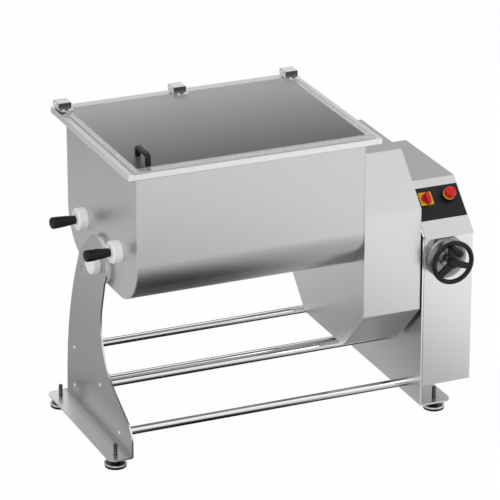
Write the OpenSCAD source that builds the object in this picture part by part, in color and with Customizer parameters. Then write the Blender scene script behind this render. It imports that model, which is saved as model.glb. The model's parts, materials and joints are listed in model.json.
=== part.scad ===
// Tilting meat mixer with two mixing shafts. Millimetres, +Z up, floor at z = 0.
// Modules draw in the machine frame: x = 0 at the tank's middle, y = 0 on its centre plane,
// the front is -Y. machine() then moves everything so that the origin is the footprint's centre.

/* [Tank] */
// Outside length of the tank
tank_length = 764; // [700:1:820]
// Distance between the two mixing shafts
shaft_spacing = 300; // [292:1:308]
// Outside radius of each trough lobe
lobe_radius = 150; // [146:1:154]
// Height of the mixing shafts above the tilt axis
shaft_rise = 86; // [82:1:90]
// Height of the rim's top face above the tilt axis
rim_rise = 403; // [390:1:416]
// How far the rim stands out beyond the tank's walls
rim_overhang = 38; // [35:1:42]
// Depth of the rim's folded edge
rim_depth = 20; // [14:1:26]
// Thickness of the trough and rim sheet
tank_sheet = 2; // [1.5:0.5:3]
// Thickness of the tank's end walls
end_sheet = 3; // [2:0.5:4]

/* [Lid] */
// Thickness of the lid sheet
lid_sheet = 5; // [4:0.5:7]
// Distance from the rim's side edge to the lid's edge
lid_side_margin = 21; // [12:1:26]
// Distance from the rim's front edge to the lid's edge
lid_front_margin = 4; // [0:1:12]
// Height of the bridge handle above the lid
handle_height = 38; // [32:1:46]
// Length of the bridge handle
handle_length = 96; // [84:1:110]

/* [Mixing shafts] */
// Diameter of the mixing shafts
shaft_d = 32; // [28:1:36]
// Number of paddles on each shaft
paddle_count = 5; // [3:1:6]
// Gap between a paddle's tip and the trough
paddle_gap = 6; // [4:1:14]
// Angle of a paddle's blade to the shaft
paddle_angle = 40; // [25:1:55]
// Number of teeth on each of the four drive gears
gear_teeth = 20; // [16:2:24]
// Width of the drive gears
gear_width = 20; // [14:1:26]
// Travel of a release pin from locked to free
pin_travel = 45; // [42:1:48]

/* [Stand] */
// Height of the tilt axis
pivot_height = 592; // [585:1:601]
// Thickness of the leg plates
leg_sheet = 6; // [5:0.5:8]
// Gap between the tank's end wall and the left leg
leg_gap = 14; // [13:1:18]
// Half the depth of the legs at the floor
foot_half = 286; // [276:1:292]
// Radius of the left leg's head around the tilt axis
leg_head_radius = 84; // [80:1:90]
// Radius of the left leg's long rear curve
leg_back_radius = 1050; // [1000:10:1100]
// Radius of the left leg's hollow front curve
leg_front_radius = 209; // [200:1:212]
// Height of the foot flanges' underside
flange_z = 33; // [30:1:38]
// Width of the left foot flange
left_flange = 79; // [76:1:90]
// Width of the right foot flange
right_flange = 115; // [110:1:120]
// Diameter of the tie rods
rod_d = 26; // [22:1:30]
// Diameter of the levelling feet
foot_d = 72; // [64:1:76]

/* [Gear housing] */
// Length of the gear housing along X
housing_length = 196; // [190:1:210]
// Depth of the gear housing's corner folds
housing_chamfer = 150; // [140:1:158]
// Distance from the tilt axis down to the housing's underside
housing_drop = 361; // [350:1:364]
// Distance from the tilt axis up to the housing's top
housing_rise = 281; // [270:1:290]
// Gap between the gear housing and the right leg
housing_gap = 14; // [12:1:18]

/* [Column] */
// Width of the column beside the right leg
column_width = 170; // [166:1:180]
// Distance from the centre plane to the column's front
column_front = 288; // [286:1:296]
// Distance from the centre plane to the column's back
column_back = 208; // [200:1:214]
// Height of the column's top above the tilt axis
column_rise = 163; // [155:1:172]
// Height of the column's underside
column_bottom = 104; // [100:1:115]
// Height above the tilt axis at which the slanted panel starts
panel_rise = 26; // [22:1:32]
// Distance from the centre plane to the panel's upper fold
panel_fold = 144; // [138:1:150]
// Thickness of the column's sheet
column_sheet = 2; // [1.5:0.5:3]

/* [Controls] */
// Side of the square switch plate
switch_side = 45; // [42:1:50]
// Diameter of the emergency stop's head
estop_d = 40; // [36:1:42]
// Travel of the emergency stop
estop_travel = 6; // [4:0.5:6]
// Outside diameter of the handwheel
wheel_d = 146; // [140:1:160]
// Distance from the column's front to the handwheel's plane
wheel_reach = 62; // [58:1:70]
// Length of the handwheel's revolving grip
grip_length = 67; // [55:1:75]

/* [Hidden] */
$fn = 72;

// Clearances
run_fit = 0.05; // radial, shaft in its bush
face_gap = 0.3; // between faces that turn against each other
hole_gap = 0.1; // radial, fixed piece in its hole
over = 1; // how far a cutting body runs past a face

// Places that follow from the tank
tank_half = tank_length / 2;
shaft_y = shaft_spacing / 2;
tank_half_width = shaft_y + lobe_radius;
shaft_z = pivot_height + shaft_rise;
lobe_inside = lobe_radius - tank_sheet;
rim_half_x = tank_half + rim_overhang;
rim_half_y = tank_half_width + rim_overhang;
rim_top = pivot_height + rim_rise;
wall_top = rim_top - tank_sheet;
shaft_r = shaft_d / 2;

// Lid and hinges
hinge_setback = 13; // axis to the rim's rear edge
hinge_lift = 12.5; // axis above the rim
lid_setback = 36; // lid's rear edge to the axis
hinge_end_gap = 8; // outer hinge to the rim's side edge
handle_inset = [62, 90]; // handle's centre to the lid's side and front edges
lid_half_x = rim_half_x - lid_side_margin;
lid_front = -(rim_half_y - lid_front_margin);
hinge_axis_y = rim_half_y - hinge_setback;
hinge_axis_z = rim_top + hinge_lift;
lid_back = hinge_axis_y - lid_setback;
lid_top = rim_top + lid_sheet;
hinge_width = 43;
hinge_far_x = rim_half_x - hinge_width / 2 - hinge_end_gap;
hinge_places = [-hinge_far_x, 0, hinge_far_x];
hinge_pin_r = 3;
hinge_sheet = 3;
hinge_knuckle_r = 8;
hinge_cap_height = 12.5; // top plate's upper face above the hinge axis
leaf_length = 28;
leaf_front = lid_back - leaf_length;
handle_x = -(lid_half_x - handle_inset[0]);
handle_y = lid_front + handle_inset[1];

// Left end: caps, pins and pivot
cap_r = 36;
cap_length = 31;
cap_face = -(tank_half + cap_length);
pin_r = 10;
pin_overtravel = 5; // travel left once a release pin is out of its shaft
shaft_setback = 8; // shaft's end to the tank's outer face
shaft_left = -(tank_half - shaft_setback);
pin_tip = shaft_left + pin_travel - pin_overtravel;
pin_handle_length = 86;
handle_base = cap_face - face_gap;
handle_tip = handle_base - pin_handle_length;
pivot_cap_r = 40;
pivot_r = 20;
pivot_flange_r = 50;
pivot_flange = 5;
spacer_r = 75;
leg_inner = -(tank_half + leg_gap);
leg_outer = leg_inner - leg_sheet;
pivot_cap_length = 26;

// Right end: housing, leg and column
housing_left = tank_half;
housing_right = tank_half + housing_length;
cover_sheet = 3;
right_leg_x = housing_right + housing_gap;
column_x = right_leg_x + leg_sheet;
column_right = column_x + column_width;
column_top = pivot_height + column_rise;
panel_start = pivot_height + panel_rise;
panel_angle = atan2(column_top - panel_start, column_front - panel_fold);
hood_lip = 10;
hood_seam = 1; // open seam between the right leg and the hood
lip_low = panel_start - hood_lip * sin(panel_angle) - column_sheet * cos(panel_angle);

// Drive gears, in one row between the two shafts
gear_pitch_r = shaft_spacing / 6;
gear_module = 2 * gear_pitch_r / gear_teeth;
gear_offset = 60; // gears' middle plane to the tank's end wall
gear_x = housing_left + gear_offset;
motor_shaft_r = 12.5;
gear_places = [-3, -1, 1, 3]; // in pitch radii from the centre plane
bearing_length = 20;

// Tilt drive: worm under the trunnion's wheel
worm_wheel_teeth = 40;
worm_axis_drop = 47;
worm_wheel_r = 34.2;
worm_r = worm_axis_drop - worm_wheel_r - face_gap;
worm_root_r = 9.5;
worm_length = 52;
wheel_shaft_r = 8;
drive_offset = 69.5; // handwheel's axis to the right leg
drive_x = column_x + drive_offset;
drive_z = pivot_height - worm_axis_drop;
trunnion_r = 30;
trunnion_neck_r = 18;
trunnion_bore_r = 12;
trunnion_tail = 25; // trunnion's end beyond the worm wheel's middle
trunnion_end = drive_x + trunnion_tail;
ear_sheet = 10;
ear_inside = worm_length / 2 + ear_sheet;

// Handwheel
wheel_y = -(column_front + wheel_reach);
wheel_tube_r = 8;
wheel_ring_r = wheel_d / 2 - wheel_tube_r;
spoke_angles = [100, 220, 340];
grip_inset = 8; // grip's axis inside the ring's centre line
grip_radius = wheel_ring_r - grip_inset;
grip_angle = spoke_angles[0];
grip_x = drive_x + grip_radius * cos(grip_angle);
grip_z = drive_z + grip_radius * sin(grip_angle);
grip_pin_r = 4;
grip_boss_front = 12;
grip_start = wheel_y - grip_boss_front - over;
grip_end = grip_start - grip_length;
wheel_flange_length = 22;
wheel_boss_length = 30;

// Stand
flange_top = flange_z + leg_sheet;
bend_r = 2; // inside radius of the foot folds
plate_foot = flange_top + bend_r;
// Tie rods, as [y, z] from the tilt axis
rod_places = [[214, -381], [220, -515], [-12, -419], [-178, -515]];
rod_stud_r = 8;
rod_r = rod_d / 2;
foot_inset = 41; // feet to the flanges' front and rear ends
left_foot_reach = 39; // left feet to the left leg's outer face
right_foot_reach = 71; // right feet to the right leg's inner face
foot_y = foot_half - foot_inset;
left_foot_x = leg_outer - left_foot_reach;
right_foot_x = right_leg_x + right_foot_reach;
foot_places = [[left_foot_x, -foot_y], [left_foot_x, foot_y], [right_foot_x, -foot_y], [right_foot_x, foot_y]];
foot_stud_r = 6.5;
foot_pad = 7;
foot_rim = 5;

// Controls, as [x, distance up the slanted panel]
switch_place = [column_x + 47, 130.7];
estop_place = [column_x + 122.7, 128.6];
label_from = 55;
label_to = 170;
switch_sheet = 1.5;
estop_base_height = 14;
estop_ring_height = 3;
label_sheet = 0.8;
neck_r = 11;
spindle_r = 3;
estop_stem_r = 9;

// Extremes in the machine frame
low_x = handle_tip;
high_x = column_right;
low_y = grip_end;
high_y = rim_half_y;

module machine() {
    translate([-(low_x + high_x) / 2, -(low_y + high_y) / 2, 0]) children();
}

// Extrudes a [y, z] outline from x0 to x1
module slab_x(x0, x1) {
    translate([x0, 0, 0]) rotate([90, 0, 90]) linear_extrude(x1 - x0) children();
}

// Extrudes an [x, z] outline from y0 to y1
module slab_y(y0, y1) {
    translate([0, y1, 0]) rotate([90, 0, 0]) linear_extrude(y1 - y0) children();
}

// Extrudes an [x, y] outline from z0 to z1
module slab_z(z0, z1) {
    translate([0, 0, z0]) linear_extrude(z1 - z0) children();
}

// Straight or tapered round bar along X
module bar_x(y, z, r, x0, x1, r1 = 0) {
    translate([x0, y, z]) rotate([0, 90, 0]) cylinder(r1 = r, r2 = r1 > 0 ? r1 : r, h = x1 - x0);
}

// Straight or tapered round bar along Y
module bar_y(x, z, r, y0, y1, r1 = 0) {
    translate([x, y0, z]) rotate([-90, 0, 0]) cylinder(r1 = r, r2 = r1 > 0 ? r1 : r, h = y1 - y0);
}

module block(x0, x1, y0, y1, z0, z1) {
    translate([x0, y0, z0]) cube([x1 - x0, y1 - y0, z1 - z0]);
}

// Puts its children on the slanted panel, z along the panel's outward normal
module on_panel(place) {
    up = [cos(panel_angle), sin(panel_angle)];
    translate([place[0], -column_front + up[0] * place[1], panel_start + up[1] * place[1]])
        rotate([panel_angle, 0, 0])
            children();
}

function arc(centre, r, from, to, steps = 24) =
    [for (i = [0:steps]) let (a = from + (to - from) * i / steps) centre + r * [cos(a), sin(a)]];

module rounded_rect(x0, x1, y0, y1, r) {
    polygon(concat(
        arc([x1 - r, y1 - r], r, 0, 90, 8),
        arc([x0 + r, y1 - r], r, 90, 180, 8),
        arc([x0 + r, y0 + r], r, 180, 270, 8),
        arc([x1 - r, y0 + r], r, 270, 360, 8)));
}

// Turned piece along +Z with a chamfered far edge
module turned(r, h, edge) {
    cylinder(r = r, h = h - edge);
    translate([0, 0, h - edge]) cylinder(r1 = r, r2 = r - edge, h = edge);
}

// Outline of the trough, with two lobes of radius r and a ridge between them
module trough_outline(r, top) {
    ridge_start = 45; // the ridge leaves each lobe this far up from its lowest point
    ridge_slope = 40;
    half_width = shaft_y + r;
    lobe_edge = r * sin(ridge_start);
    apex = shaft_z - lobe_edge + (shaft_y - lobe_edge) * tan(ridge_slope);
    polygon(concat(
        [[half_width, top], [-half_width, top]],
        arc([-shaft_y, shaft_z], r, 180, 270 + ridge_start, 36),
        [[0, apex]],
        arc([shaft_y, shaft_z], r, 270 - ridge_start, 360, 36)));
}

module tank_trough() {
    color("gainsboro") machine() slab_x(-tank_half + end_sheet, tank_half - end_sheet) difference() {
        trough_outline(lobe_radius, wall_top);
        trough_outline(lobe_inside, wall_top + over);
    }
}

// Outline of the end walls, flat below and rounded at the lower corners
module end_outline() {
    polygon(concat(
        [[tank_half_width, wall_top], [-tank_half_width, wall_top]],
        arc([-shaft_y, shaft_z], lobe_radius, 180, 270, 30),
        arc([shaft_y, shaft_z], lobe_radius, 270, 360, 30)));
}

module tank_end_left() {
    color("silver") machine() difference() {
        slab_x(-tank_half, -tank_half + end_sheet) end_outline();
        for (side = [-1, 1])
            bar_x(side * shaft_y, shaft_z, shaft_r + hole_gap, -tank_half - over,
                -tank_half + end_sheet + over);
    }
}

module tank_end_right() {
    color("silver") machine() difference() {
        slab_x(tank_half - end_sheet, tank_half) end_outline();
        for (side = [-1, 1])
            bar_x(side * shaft_y, shaft_z, shaft_r + over, tank_half - end_sheet - over, tank_half + over);
    }
}

module tank_rim() {
    inner_x = tank_half - end_sheet;
    inner_y = tank_half_width - tank_sheet;
    color("gainsboro") machine() difference() {
        block(-rim_half_x, rim_half_x, -rim_half_y, rim_half_y, rim_top - rim_depth, rim_top);
        block(-rim_half_x + tank_sheet, rim_half_x - tank_sheet, -rim_half_y + tank_sheet,
            rim_half_y - tank_sheet, rim_top - rim_depth - over, wall_top);
        block(-inner_x, inner_x, -inner_y, inner_y, wall_top - over, rim_top + over);
    }
}

module lid() {
    color([0.3, 0.32, 0.34, 0.6]) machine() slab_z(rim_top, lid_top)
        rounded_rect(-lid_half_x, lid_half_x, lid_front, lid_back, 5);
}

module lid_handle() {
    strap = 12;
    width = 17;
    bend = 16;
    low = handle_y - handle_length / 2;
    high = handle_y + handle_length / 2;
    crown = lid_top + handle_height;
    color("black") machine() slab_x(handle_x - width / 2, handle_x + width / 2) polygon(concat(
        [[high, lid_top]],
        arc([high - bend, crown - bend], bend, 0, 90, 8),
        arc([low + bend, crown - bend], bend, 90, 180, 8),
        [[low, lid_top], [low + strap, lid_top]],
        arc([low + bend, crown - bend], bend - strap, 180, 90, 6),
        arc([high - bend, crown - bend], bend - strap, 90, 0, 6),
        [[high - strap, lid_top]]));
}

// Fixed half of each hinge: a base on the rim with the knuckle
module hinge_brackets() {
    side_gap = 1.5; // to each cheek
    half = hinge_width / 2 - hinge_sheet - side_gap;
    base = [22, 5]; // in front of the axis and behind it
    web = 5;
    color("gainsboro") machine() for (x = hinge_places) difference() {
        union() {
            block(x - half, x + half, hinge_axis_y - base[0], hinge_axis_y + base[1], rim_top,
                rim_top + hinge_sheet);
            block(x - half, x + half, hinge_axis_y - web, hinge_axis_y + web, rim_top + over, hinge_axis_z);
            bar_x(hinge_axis_y, hinge_axis_z, hinge_knuckle_r, x - half, x + half);
        }
        bar_x(hinge_axis_y, hinge_axis_z, hinge_pin_r + run_fit, x - half - over, x + half + over);
    }
}

// Moving half of each hinge: leaf on the lid, web, top plate and two cheeks
module hinge_leaves() {
    half = hinge_width / 2;
    leaf = hinge_sheet;
    cheek_r = hinge_knuckle_r + 3;
    cap = hinge_axis_z + hinge_cap_height;
    cap_back = hinge_axis_y + hinge_cap_height / 2;
    cheek_foot = hinge_axis_y - 14;
    color("gainsboro") machine() for (x = hinge_places) {
        difference() {
            block(x - half, x + half, leaf_front, lid_back, lid_top, lid_top + leaf);
            for (side = [-1, 1]) translate([x + side * half / 2, leaf_front + leaf_length / 3, lid_top - over])
                cylinder(r = 2.5, h = leaf + 2 * over);
        }
        block(x - half, x + half, lid_back - leaf, lid_back, lid_top + leaf - over, cap);
        block(x - half, x + half, lid_back - leaf, cap_back, cap - leaf, cap);
        for (side = [-1, 1]) difference() {
            slab_x(x + side * (half - leaf / 2) - leaf / 2, x + side * (half - leaf / 2) + leaf / 2)
                polygon(concat(
                    [[lid_back - over, cap - over], [lid_back - over, lid_top + leaf - over],
                    [lid_back, lid_top], [cheek_foot, lid_top + leaf]],
                    arc([hinge_axis_y, hinge_axis_z], cheek_r, -110, 30, 12),
                    [[cap_back, cap - over]]));
            bar_x(hinge_axis_y, hinge_axis_z, hinge_pin_r + run_fit, x - half - over, x + half + over);
        }
    }
}

module hinge_pins() {
    head = 2;
    half = hinge_width / 2;
    color("silver") machine() for (x = hinge_places) {
        bar_x(hinge_axis_y, hinge_axis_z, hinge_pin_r, x - half, x + half);
        bar_x(hinge_axis_y, hinge_axis_z, hinge_pin_r + head, x - half - head, x - half);
        bar_x(hinge_axis_y, hinge_axis_z, hinge_pin_r + head, x + half, x + half + head);
    }
}

module hinge_screws() {
    color("silver") machine() for (x = hinge_places, side = [-1, 1])
        translate([x + side * hinge_width / 4, leaf_front + leaf_length / 3, lid_top]) {
            cylinder(r = 2.4, h = hinge_sheet);
            translate([0, 0, hinge_sheet]) turned(5, 2.5, 1);
        }
}

module shaft_caps() {
    color("white") machine() for (side = [-1, 1]) difference() {
        translate([-tank_half, side * shaft_y, shaft_z]) rotate([0, -90, 0]) turned(cap_r, cap_length, 5);
        bar_x(side * shaft_y, shaft_z, pin_r + run_fit, cap_face - over, -tank_half + over);
    }
}

// White bushes in the left wall and seal discs inside the right wall
module shaft_bushes() {
    collar_r = shaft_r + 12;
    seal_r = shaft_r + 14;
    seal_front = 6;
    seal_length = 20;
    color("white") machine() for (side = [-1, 1]) {
        difference() {
            union() {
                bar_x(side * shaft_y, shaft_z, shaft_r, -tank_half, -tank_half + end_sheet);
                bar_x(side * shaft_y, shaft_z, collar_r, -tank_half + end_sheet, shaft_left - face_gap);
            }
            bar_x(side * shaft_y, shaft_z, pin_r + run_fit, -tank_half - over, shaft_left + over);
        }
        difference() {
            bar_x(side * shaft_y, shaft_z, seal_r, tank_half - end_sheet - seal_front, tank_half - end_sheet);
            bar_x(side * shaft_y, shaft_z, shaft_r + run_fit, tank_half - seal_length, tank_half);
        }
    }
}

module shaft_bearings() {
    start = housing_left + cover_sheet;
    plate = 8;
    plate_r = shaft_r + 26;
    barrel_r = shaft_r + 14;
    color("dimgray") machine() for (side = [-1, 1]) difference() {
        union() {
            bar_x(side * shaft_y, shaft_z, plate_r, start, start + plate);
            bar_x(side * shaft_y, shaft_z, barrel_r, start + plate - over, start + bearing_length);
        }
        bar_x(side * shaft_y, shaft_z, shaft_r + run_fit, start - over, start + bearing_length + over);
    }
}

// One mixing shaft with its paddles, each a quarter turn after the one before
module agitator(side, turn) {
    tip_r = lobe_inside - paddle_gap;
    blade_height = 46;
    end_room = 40; // clear length left at each end of the trough
    room = tank_length - 2 * (end_sheet + end_room);
    pitch = room / paddle_count;
    blade_length = min(118, pitch - 10);
    blade_sheet = 5;
    hub_half = 18;
    shaft_tail = 8; // shaft's end beyond its gear
    pin_room = 3; // bore's depth beyond the release pin's tip
    hub_r = shaft_r + 9;
    arm_r = 9;
    corner = blade_length / 2 * sin(paddle_angle);
    blade_top = sqrt(tip_r * tip_r - corner * corner) - blade_sheet;
    translate([0, side * shaft_y, shaft_z]) difference() {
        union() {
            bar_x(0, 0, shaft_r, shaft_left, gear_x + gear_width / 2 + shaft_tail);
            for (i = [0:paddle_count - 1]) translate([-room / 2 + pitch * (i + 0.5), 0, 0])
                rotate([turn + 90 * i * side, 0, 0]) {
                    bar_x(0, 0, hub_r, -hub_half, hub_half);
                    cylinder(r = arm_r, h = blade_top - blade_height / 2);
                    rotate([0, 0, side * paddle_angle]) slab_y(-blade_sheet / 2, blade_sheet / 2)
                        rounded_rect(-blade_length / 2, blade_length / 2, blade_top - blade_height,
                            blade_top, 8);
                }
        }
        bar_x(0, 0, pin_r + run_fit, shaft_left - over, pin_tip + pin_room);
    }
}

module agitator_front() {
    color("silver") machine() agitator(-1, 0);
}

module agitator_rear() {
    color("silver") machine() agitator(1, 45);
}

// Angle of an involute's point at radius r, from its start on the base circle
function involute_angle(base, r) =
    let (t = sqrt(max(0, (r / base) * (r / base) - 1))) t * 180 / PI - atan(t);

// Gear outline with involute flanks, one tooth pointing along the first axis
module gear_outline(teeth, module_size) {
    pressure_angle = 20;
    flank_steps = 4;
    backlash = 0.6; // degrees taken from each tooth
    pitch_r = teeth * module_size / 2;
    base_r = pitch_r * cos(pressure_angle);
    outer_r = pitch_r + module_size;
    root_r = pitch_r - 1.25 * module_size;
    half_tooth = 90 / teeth + involute_angle(base_r, pitch_r) - backlash / 2;
    half_root = half_tooth - involute_angle(base_r, max(base_r, root_r));
    start_r = max(base_r, root_r);
    radii = [for (k = [0:flank_steps]) start_r + (outer_r - start_r) * k / flank_steps];
    polygon([for (i = [0:teeth - 1]) let (a = 360 / teeth * i) each concat(
        [root_r * [cos(a - half_root), sin(a - half_root)]],
        [for (r = radii) r * [cos(a - half_tooth + involute_angle(base_r, r)),
            sin(a - half_tooth + involute_angle(base_r, r))]],
        [for (k = [0:flank_steps]) let (r = radii[flank_steps - k])
            r * [cos(a + half_tooth - involute_angle(base_r, r)),
            sin(a + half_tooth - involute_angle(base_r, r))]],
        [root_r * [cos(a + half_root), sin(a + half_root)]])]);
}

// Gear number i of the row, with a round bore of radius bore_r
module drive_gear(i, bore_r) {
    half_step = 180 / gear_teeth;
    lighten_r = gear_pitch_r * 0.16; // the six lightening holes
    lighten_place = gear_pitch_r * 0.6;
    color("darkgray") machine() translate([0, gear_places[i] * gear_pitch_r, shaft_z]) difference() {
        slab_x(gear_x - gear_width / 2, gear_x + gear_width / 2)
            rotate(i % 2 == 0 ? 0 : half_step) gear_outline(gear_teeth, gear_module);
        bar_x(0, 0, bore_r, gear_x - gear_width, gear_x + gear_width);
        for (a = [30:60:330]) bar_x(lighten_place * cos(a), lighten_place * sin(a), lighten_r,
            gear_x - gear_width, gear_x + gear_width);
    }
}

module gear_front() {
    drive_gear(0, shaft_r);
}

// Driven by the gearmotor, so the motor's output shaft is part of it
module idler_front() {
    stub = 6;
    reach = 22;
    drive_gear(1, motor_shaft_r / 2);
    color("silver") machine()
        bar_x(-gear_pitch_r, shaft_z, motor_shaft_r, gear_x - gear_width / 2 - stub,
            gear_x + gear_width / 2 + reach);
}

module idler_rear() {
    drive_gear(2, motor_shaft_r + run_fit);
}

module gear_rear() {
    drive_gear(3, shaft_r);
}

// Octagonal outline of the gear housing, inset by t
module housing_outline(t) {
    w = tank_half_width - t;
    low = pivot_height - housing_drop + t;
    high = pivot_height + housing_rise - t;
    c = housing_chamfer - (2 - sqrt(2)) * t;
    polygon([[-w + c, low], [w - c, low], [w, low + c], [w, high - c],
        [w - c, high], [-w + c, high], [-w, high - c], [-w, low + c]]);
}

module gear_housing() {
    axle_end = gear_x + gear_width / 2 + 6;
    collar_r = motor_shaft_r + 6;
    color("gainsboro") machine() {
        difference() {
            slab_x(housing_left, housing_right - cover_sheet) housing_outline(0);
            slab_x(housing_left + cover_sheet, housing_right) housing_outline(tank_sheet);
            for (side = [-1, 1])
                bar_x(side * shaft_y, shaft_z, shaft_r + over, housing_left - over,
                    housing_left + cover_sheet + over);
        }
        bar_x(gear_pitch_r, shaft_z, motor_shaft_r, housing_left + over, axle_end);
        bar_x(gear_pitch_r, shaft_z, collar_r, housing_left + over, gear_x - gear_width / 2 - over);
    }
}

module housing_cover() {
    color("gainsboro") machine() difference() {
        slab_x(housing_right - cover_sheet, housing_right) housing_outline(0);
        bar_x(0, pivot_height, trunnion_bore_r, housing_right - cover_sheet - over, housing_right + over);
    }
}

module housing_screws() {
    inset = 14;
    w = tank_half_width - inset;
    low = pivot_height - housing_drop + inset;
    high = pivot_height + housing_rise - inset;
    c = housing_chamfer - inset / 2;
    places = [[-w, low + c], [-w, high - c], [w, low + c], [w, high - c],
        [-w + c, low], [w - c, low], [-w + c, high], [w - c, high]];
    color("silver") machine() for (p = places)
        translate([housing_right, p[0], p[1]]) rotate([0, 90, 0]) turned(6, 4, 1.5);
}

module tilt_trunnion() {
    flange_r = 70;
    flange_end = housing_right + 8;
    neck_start = column_x + 20;
    color("silver") machine() difference() {
        union() {
            bar_x(0, pivot_height, flange_r, housing_right, flange_end);
            bar_x(0, pivot_height, trunnion_r, flange_end - over, neck_start);
            bar_x(0, pivot_height, trunnion_neck_r, neck_start - over, trunnion_end);
        }
        bar_x(0, pivot_height, trunnion_bore_r, housing_right - over, trunnion_end + over);
    }
}

module worm_wheel() {
    width = 20;
    half_step = 180 / worm_wheel_teeth;
    tooth_module = 2 * worm_wheel_r / (worm_wheel_teeth + 2);
    color("goldenrod") machine() translate([0, 0, pivot_height]) difference() {
        slab_x(drive_x - width / 2, drive_x + width / 2)
            rotate(half_step) gear_outline(worm_wheel_teeth, tooth_module);
        bar_x(0, 0, trunnion_neck_r, drive_x - width, drive_x + width);
    }
}

// Single-start round thread, with the plain journals on both ends
module worm() {
    turns = 10;
    throw = (worm_r - worm_root_r) / 2;
    color("silver") machine() {
        translate([drive_x, worm_length / 2, drive_z]) rotate([90, 0, 0])
            linear_extrude(worm_length, twist = -360 * turns, slices = turns * 8)
                translate([throw, 0]) circle(r = worm_root_r + throw, $fn = 16);
        bar_y(drive_x, drive_z, wheel_shaft_r, worm_length / 2, ear_inside + ear_sheet + 4);
    }
}

module wheel_shaft() {
    color("silver") machine() bar_y(drive_x, drive_z, wheel_shaft_r, wheel_y - 8, -worm_length / 2);
}

// Bracket on the right leg that carries the worm's two bearings
module worm_bracket() {
    ear_end = drive_x + 20;
    low = drive_z - 22;
    high = drive_z + 14;
    back = 6;
    color("dimgray") machine() {
        block(column_x, column_x + back, -ear_inside - ear_sheet, ear_inside + ear_sheet, low, drive_z + 4);
        for (side = [-1, 1]) {
            y0 = side > 0 ? ear_inside : -ear_inside - ear_sheet;
            difference() {
                block(column_x + back, ear_end, y0, y0 + ear_sheet, low, high);
                bar_y(drive_x, drive_z, wheel_shaft_r + run_fit, y0 - over, y0 + ear_sheet + over);
            }
        }
    }
}

module pivot_pin() {
    color("silver") machine() {
        bar_x(0, pivot_height, pivot_flange_r - hole_gap, -tank_half - pivot_flange, -tank_half);
        bar_x(0, pivot_height, pivot_r, leg_outer - 16, -tank_half - pivot_flange);
    }
}

module pivot_spacer() {
    color("white") machine() difference() {
        bar_x(0, pivot_height, spacer_r, leg_inner + face_gap, -tank_half);
        bar_x(0, pivot_height, pivot_flange_r, -tank_half - pivot_flange, -tank_half + over);
        bar_x(0, pivot_height, pivot_r + hole_gap, leg_inner - over, -tank_half);
    }
}

// Plain bearings of the tilt axis, one in each leg
module pivot_bushes() {
    wall = 6;
    flange = [4, 8]; // height and length of the right bush's flange
    color("burlywood") machine() {
        difference() {
            bar_x(0, pivot_height, pivot_r + wall, leg_outer, leg_inner);
            bar_x(0, pivot_height, pivot_r + run_fit, leg_outer - over, leg_inner + over);
        }
        difference() {
            union() {
                bar_x(0, pivot_height, trunnion_r + wall, right_leg_x, column_x);
                bar_x(0, pivot_height, trunnion_r + wall + flange[0], column_x, column_x + flange[1]);
            }
            bar_x(0, pivot_height, trunnion_r + run_fit, right_leg_x - over, column_x + flange[1] + over);
        }
    }
}

module pivot_cap() {
    color("white") machine() difference() {
        translate([leg_outer, 0, pivot_height]) rotate([0, -90, 0]) turned(pivot_cap_r, pivot_cap_length, 6);
        bar_x(0, pivot_height, pivot_r + 8, leg_outer - 19, leg_outer + over);
    }
}

module release_pin(side) {
    color("silver") machine() bar_x(side * shaft_y, shaft_z, pin_r, handle_base, pin_tip);
}

module release_pin_front() {
    release_pin(-1);
}

module release_pin_rear() {
    release_pin(1);
}

module pin_handle(side) {
    neck_r = 13.5;
    end_r = 19;
    edge = 6;
    color("black") machine() {
        bar_x(side * shaft_y, shaft_z, end_r, handle_tip + edge, handle_base, neck_r);
        bar_x(side * shaft_y, shaft_z, end_r - edge, handle_tip, handle_tip + edge, end_r);
    }
}

module pin_handle_front() {
    pin_handle(-1);
}

module pin_handle_rear() {
    pin_handle(1);
}

// Folded foot flange of a leg: plate edge at x, flange running outward along dir
module foot_fold(x, dir, width) {
    inner = bend_r;
    outer = bend_r + leg_sheet;
    corner = 25;
    depth = foot_half;
    centre = [x + dir * outer, flange_z + outer];
    from = dir > 0 ? 180 : 0;
    intersection() {
        slab_y(-depth, depth) polygon(concat(
            arc(centre, outer, from, from + dir * 90, 8),
            [[x + dir * width, flange_z], [x + dir * width, flange_top]],
            arc(centre, inner, from + dir * 90, from, 8)));
        slab_z(flange_z - over, plate_foot + over) polygon(concat(
            [[x, depth], [x, -depth]],
            dir > 0 ? arc([x + width - corner, -depth + corner], corner, -90, 0, 8)
                : arc([x - width + corner, -depth + corner], corner, 270, 180, 8),
            dir > 0 ? arc([x + width - corner, depth - corner], corner, 0, 90, 8)
                : arc([x - width + corner, depth - corner], corner, 180, 90, 8)));
    }
}

module left_leg_outline() {
    sweep = 62.2; // the front curve ends this far below the horizontal
    toe_r = 60;
    shoulder = 40;
    waist = [26, 207]; // innermost point of the front curve, ahead of the tilt axis and below it
    heel_rise = 10; // upright part of the rear edge above the fold
    back_end = 13; // the rear curve ends this far below the tilt axis
    head = [0, pivot_height];
    front = [-waist[0] - leg_front_radius, pivot_height - waist[1]];
    back = [foot_half - leg_back_radius, plate_foot + heel_rise];
    back_rise = asin((pivot_height - back_end - back[1]) / leg_back_radius);
    heel = front + leg_front_radius * [cos(sweep), -sin(sweep)];
    toe_y = -foot_half + toe_r;
    toe_z = heel[1] - (toe_r + cos(sweep) * (heel[0] - toe_y)) / sin(sweep);
    polygon(concat(
        [[foot_half, plate_foot]],
        arc(back, leg_back_radius, 0, back_rise),
        arc(head, leg_head_radius, shoulder, 219, 36),
        arc(front, leg_front_radius, 20, -sweep),
        arc([toe_y, toe_z], toe_r, 180 - sweep, 180, 10),
        [[-foot_half, plate_foot]]));
}

module stud_holes() {
    for (p = foot_places) translate([p[0], p[1], flange_z - over])
        cylinder(r = foot_stud_r + 1, h = leg_sheet + 2 * over);
}

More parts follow.
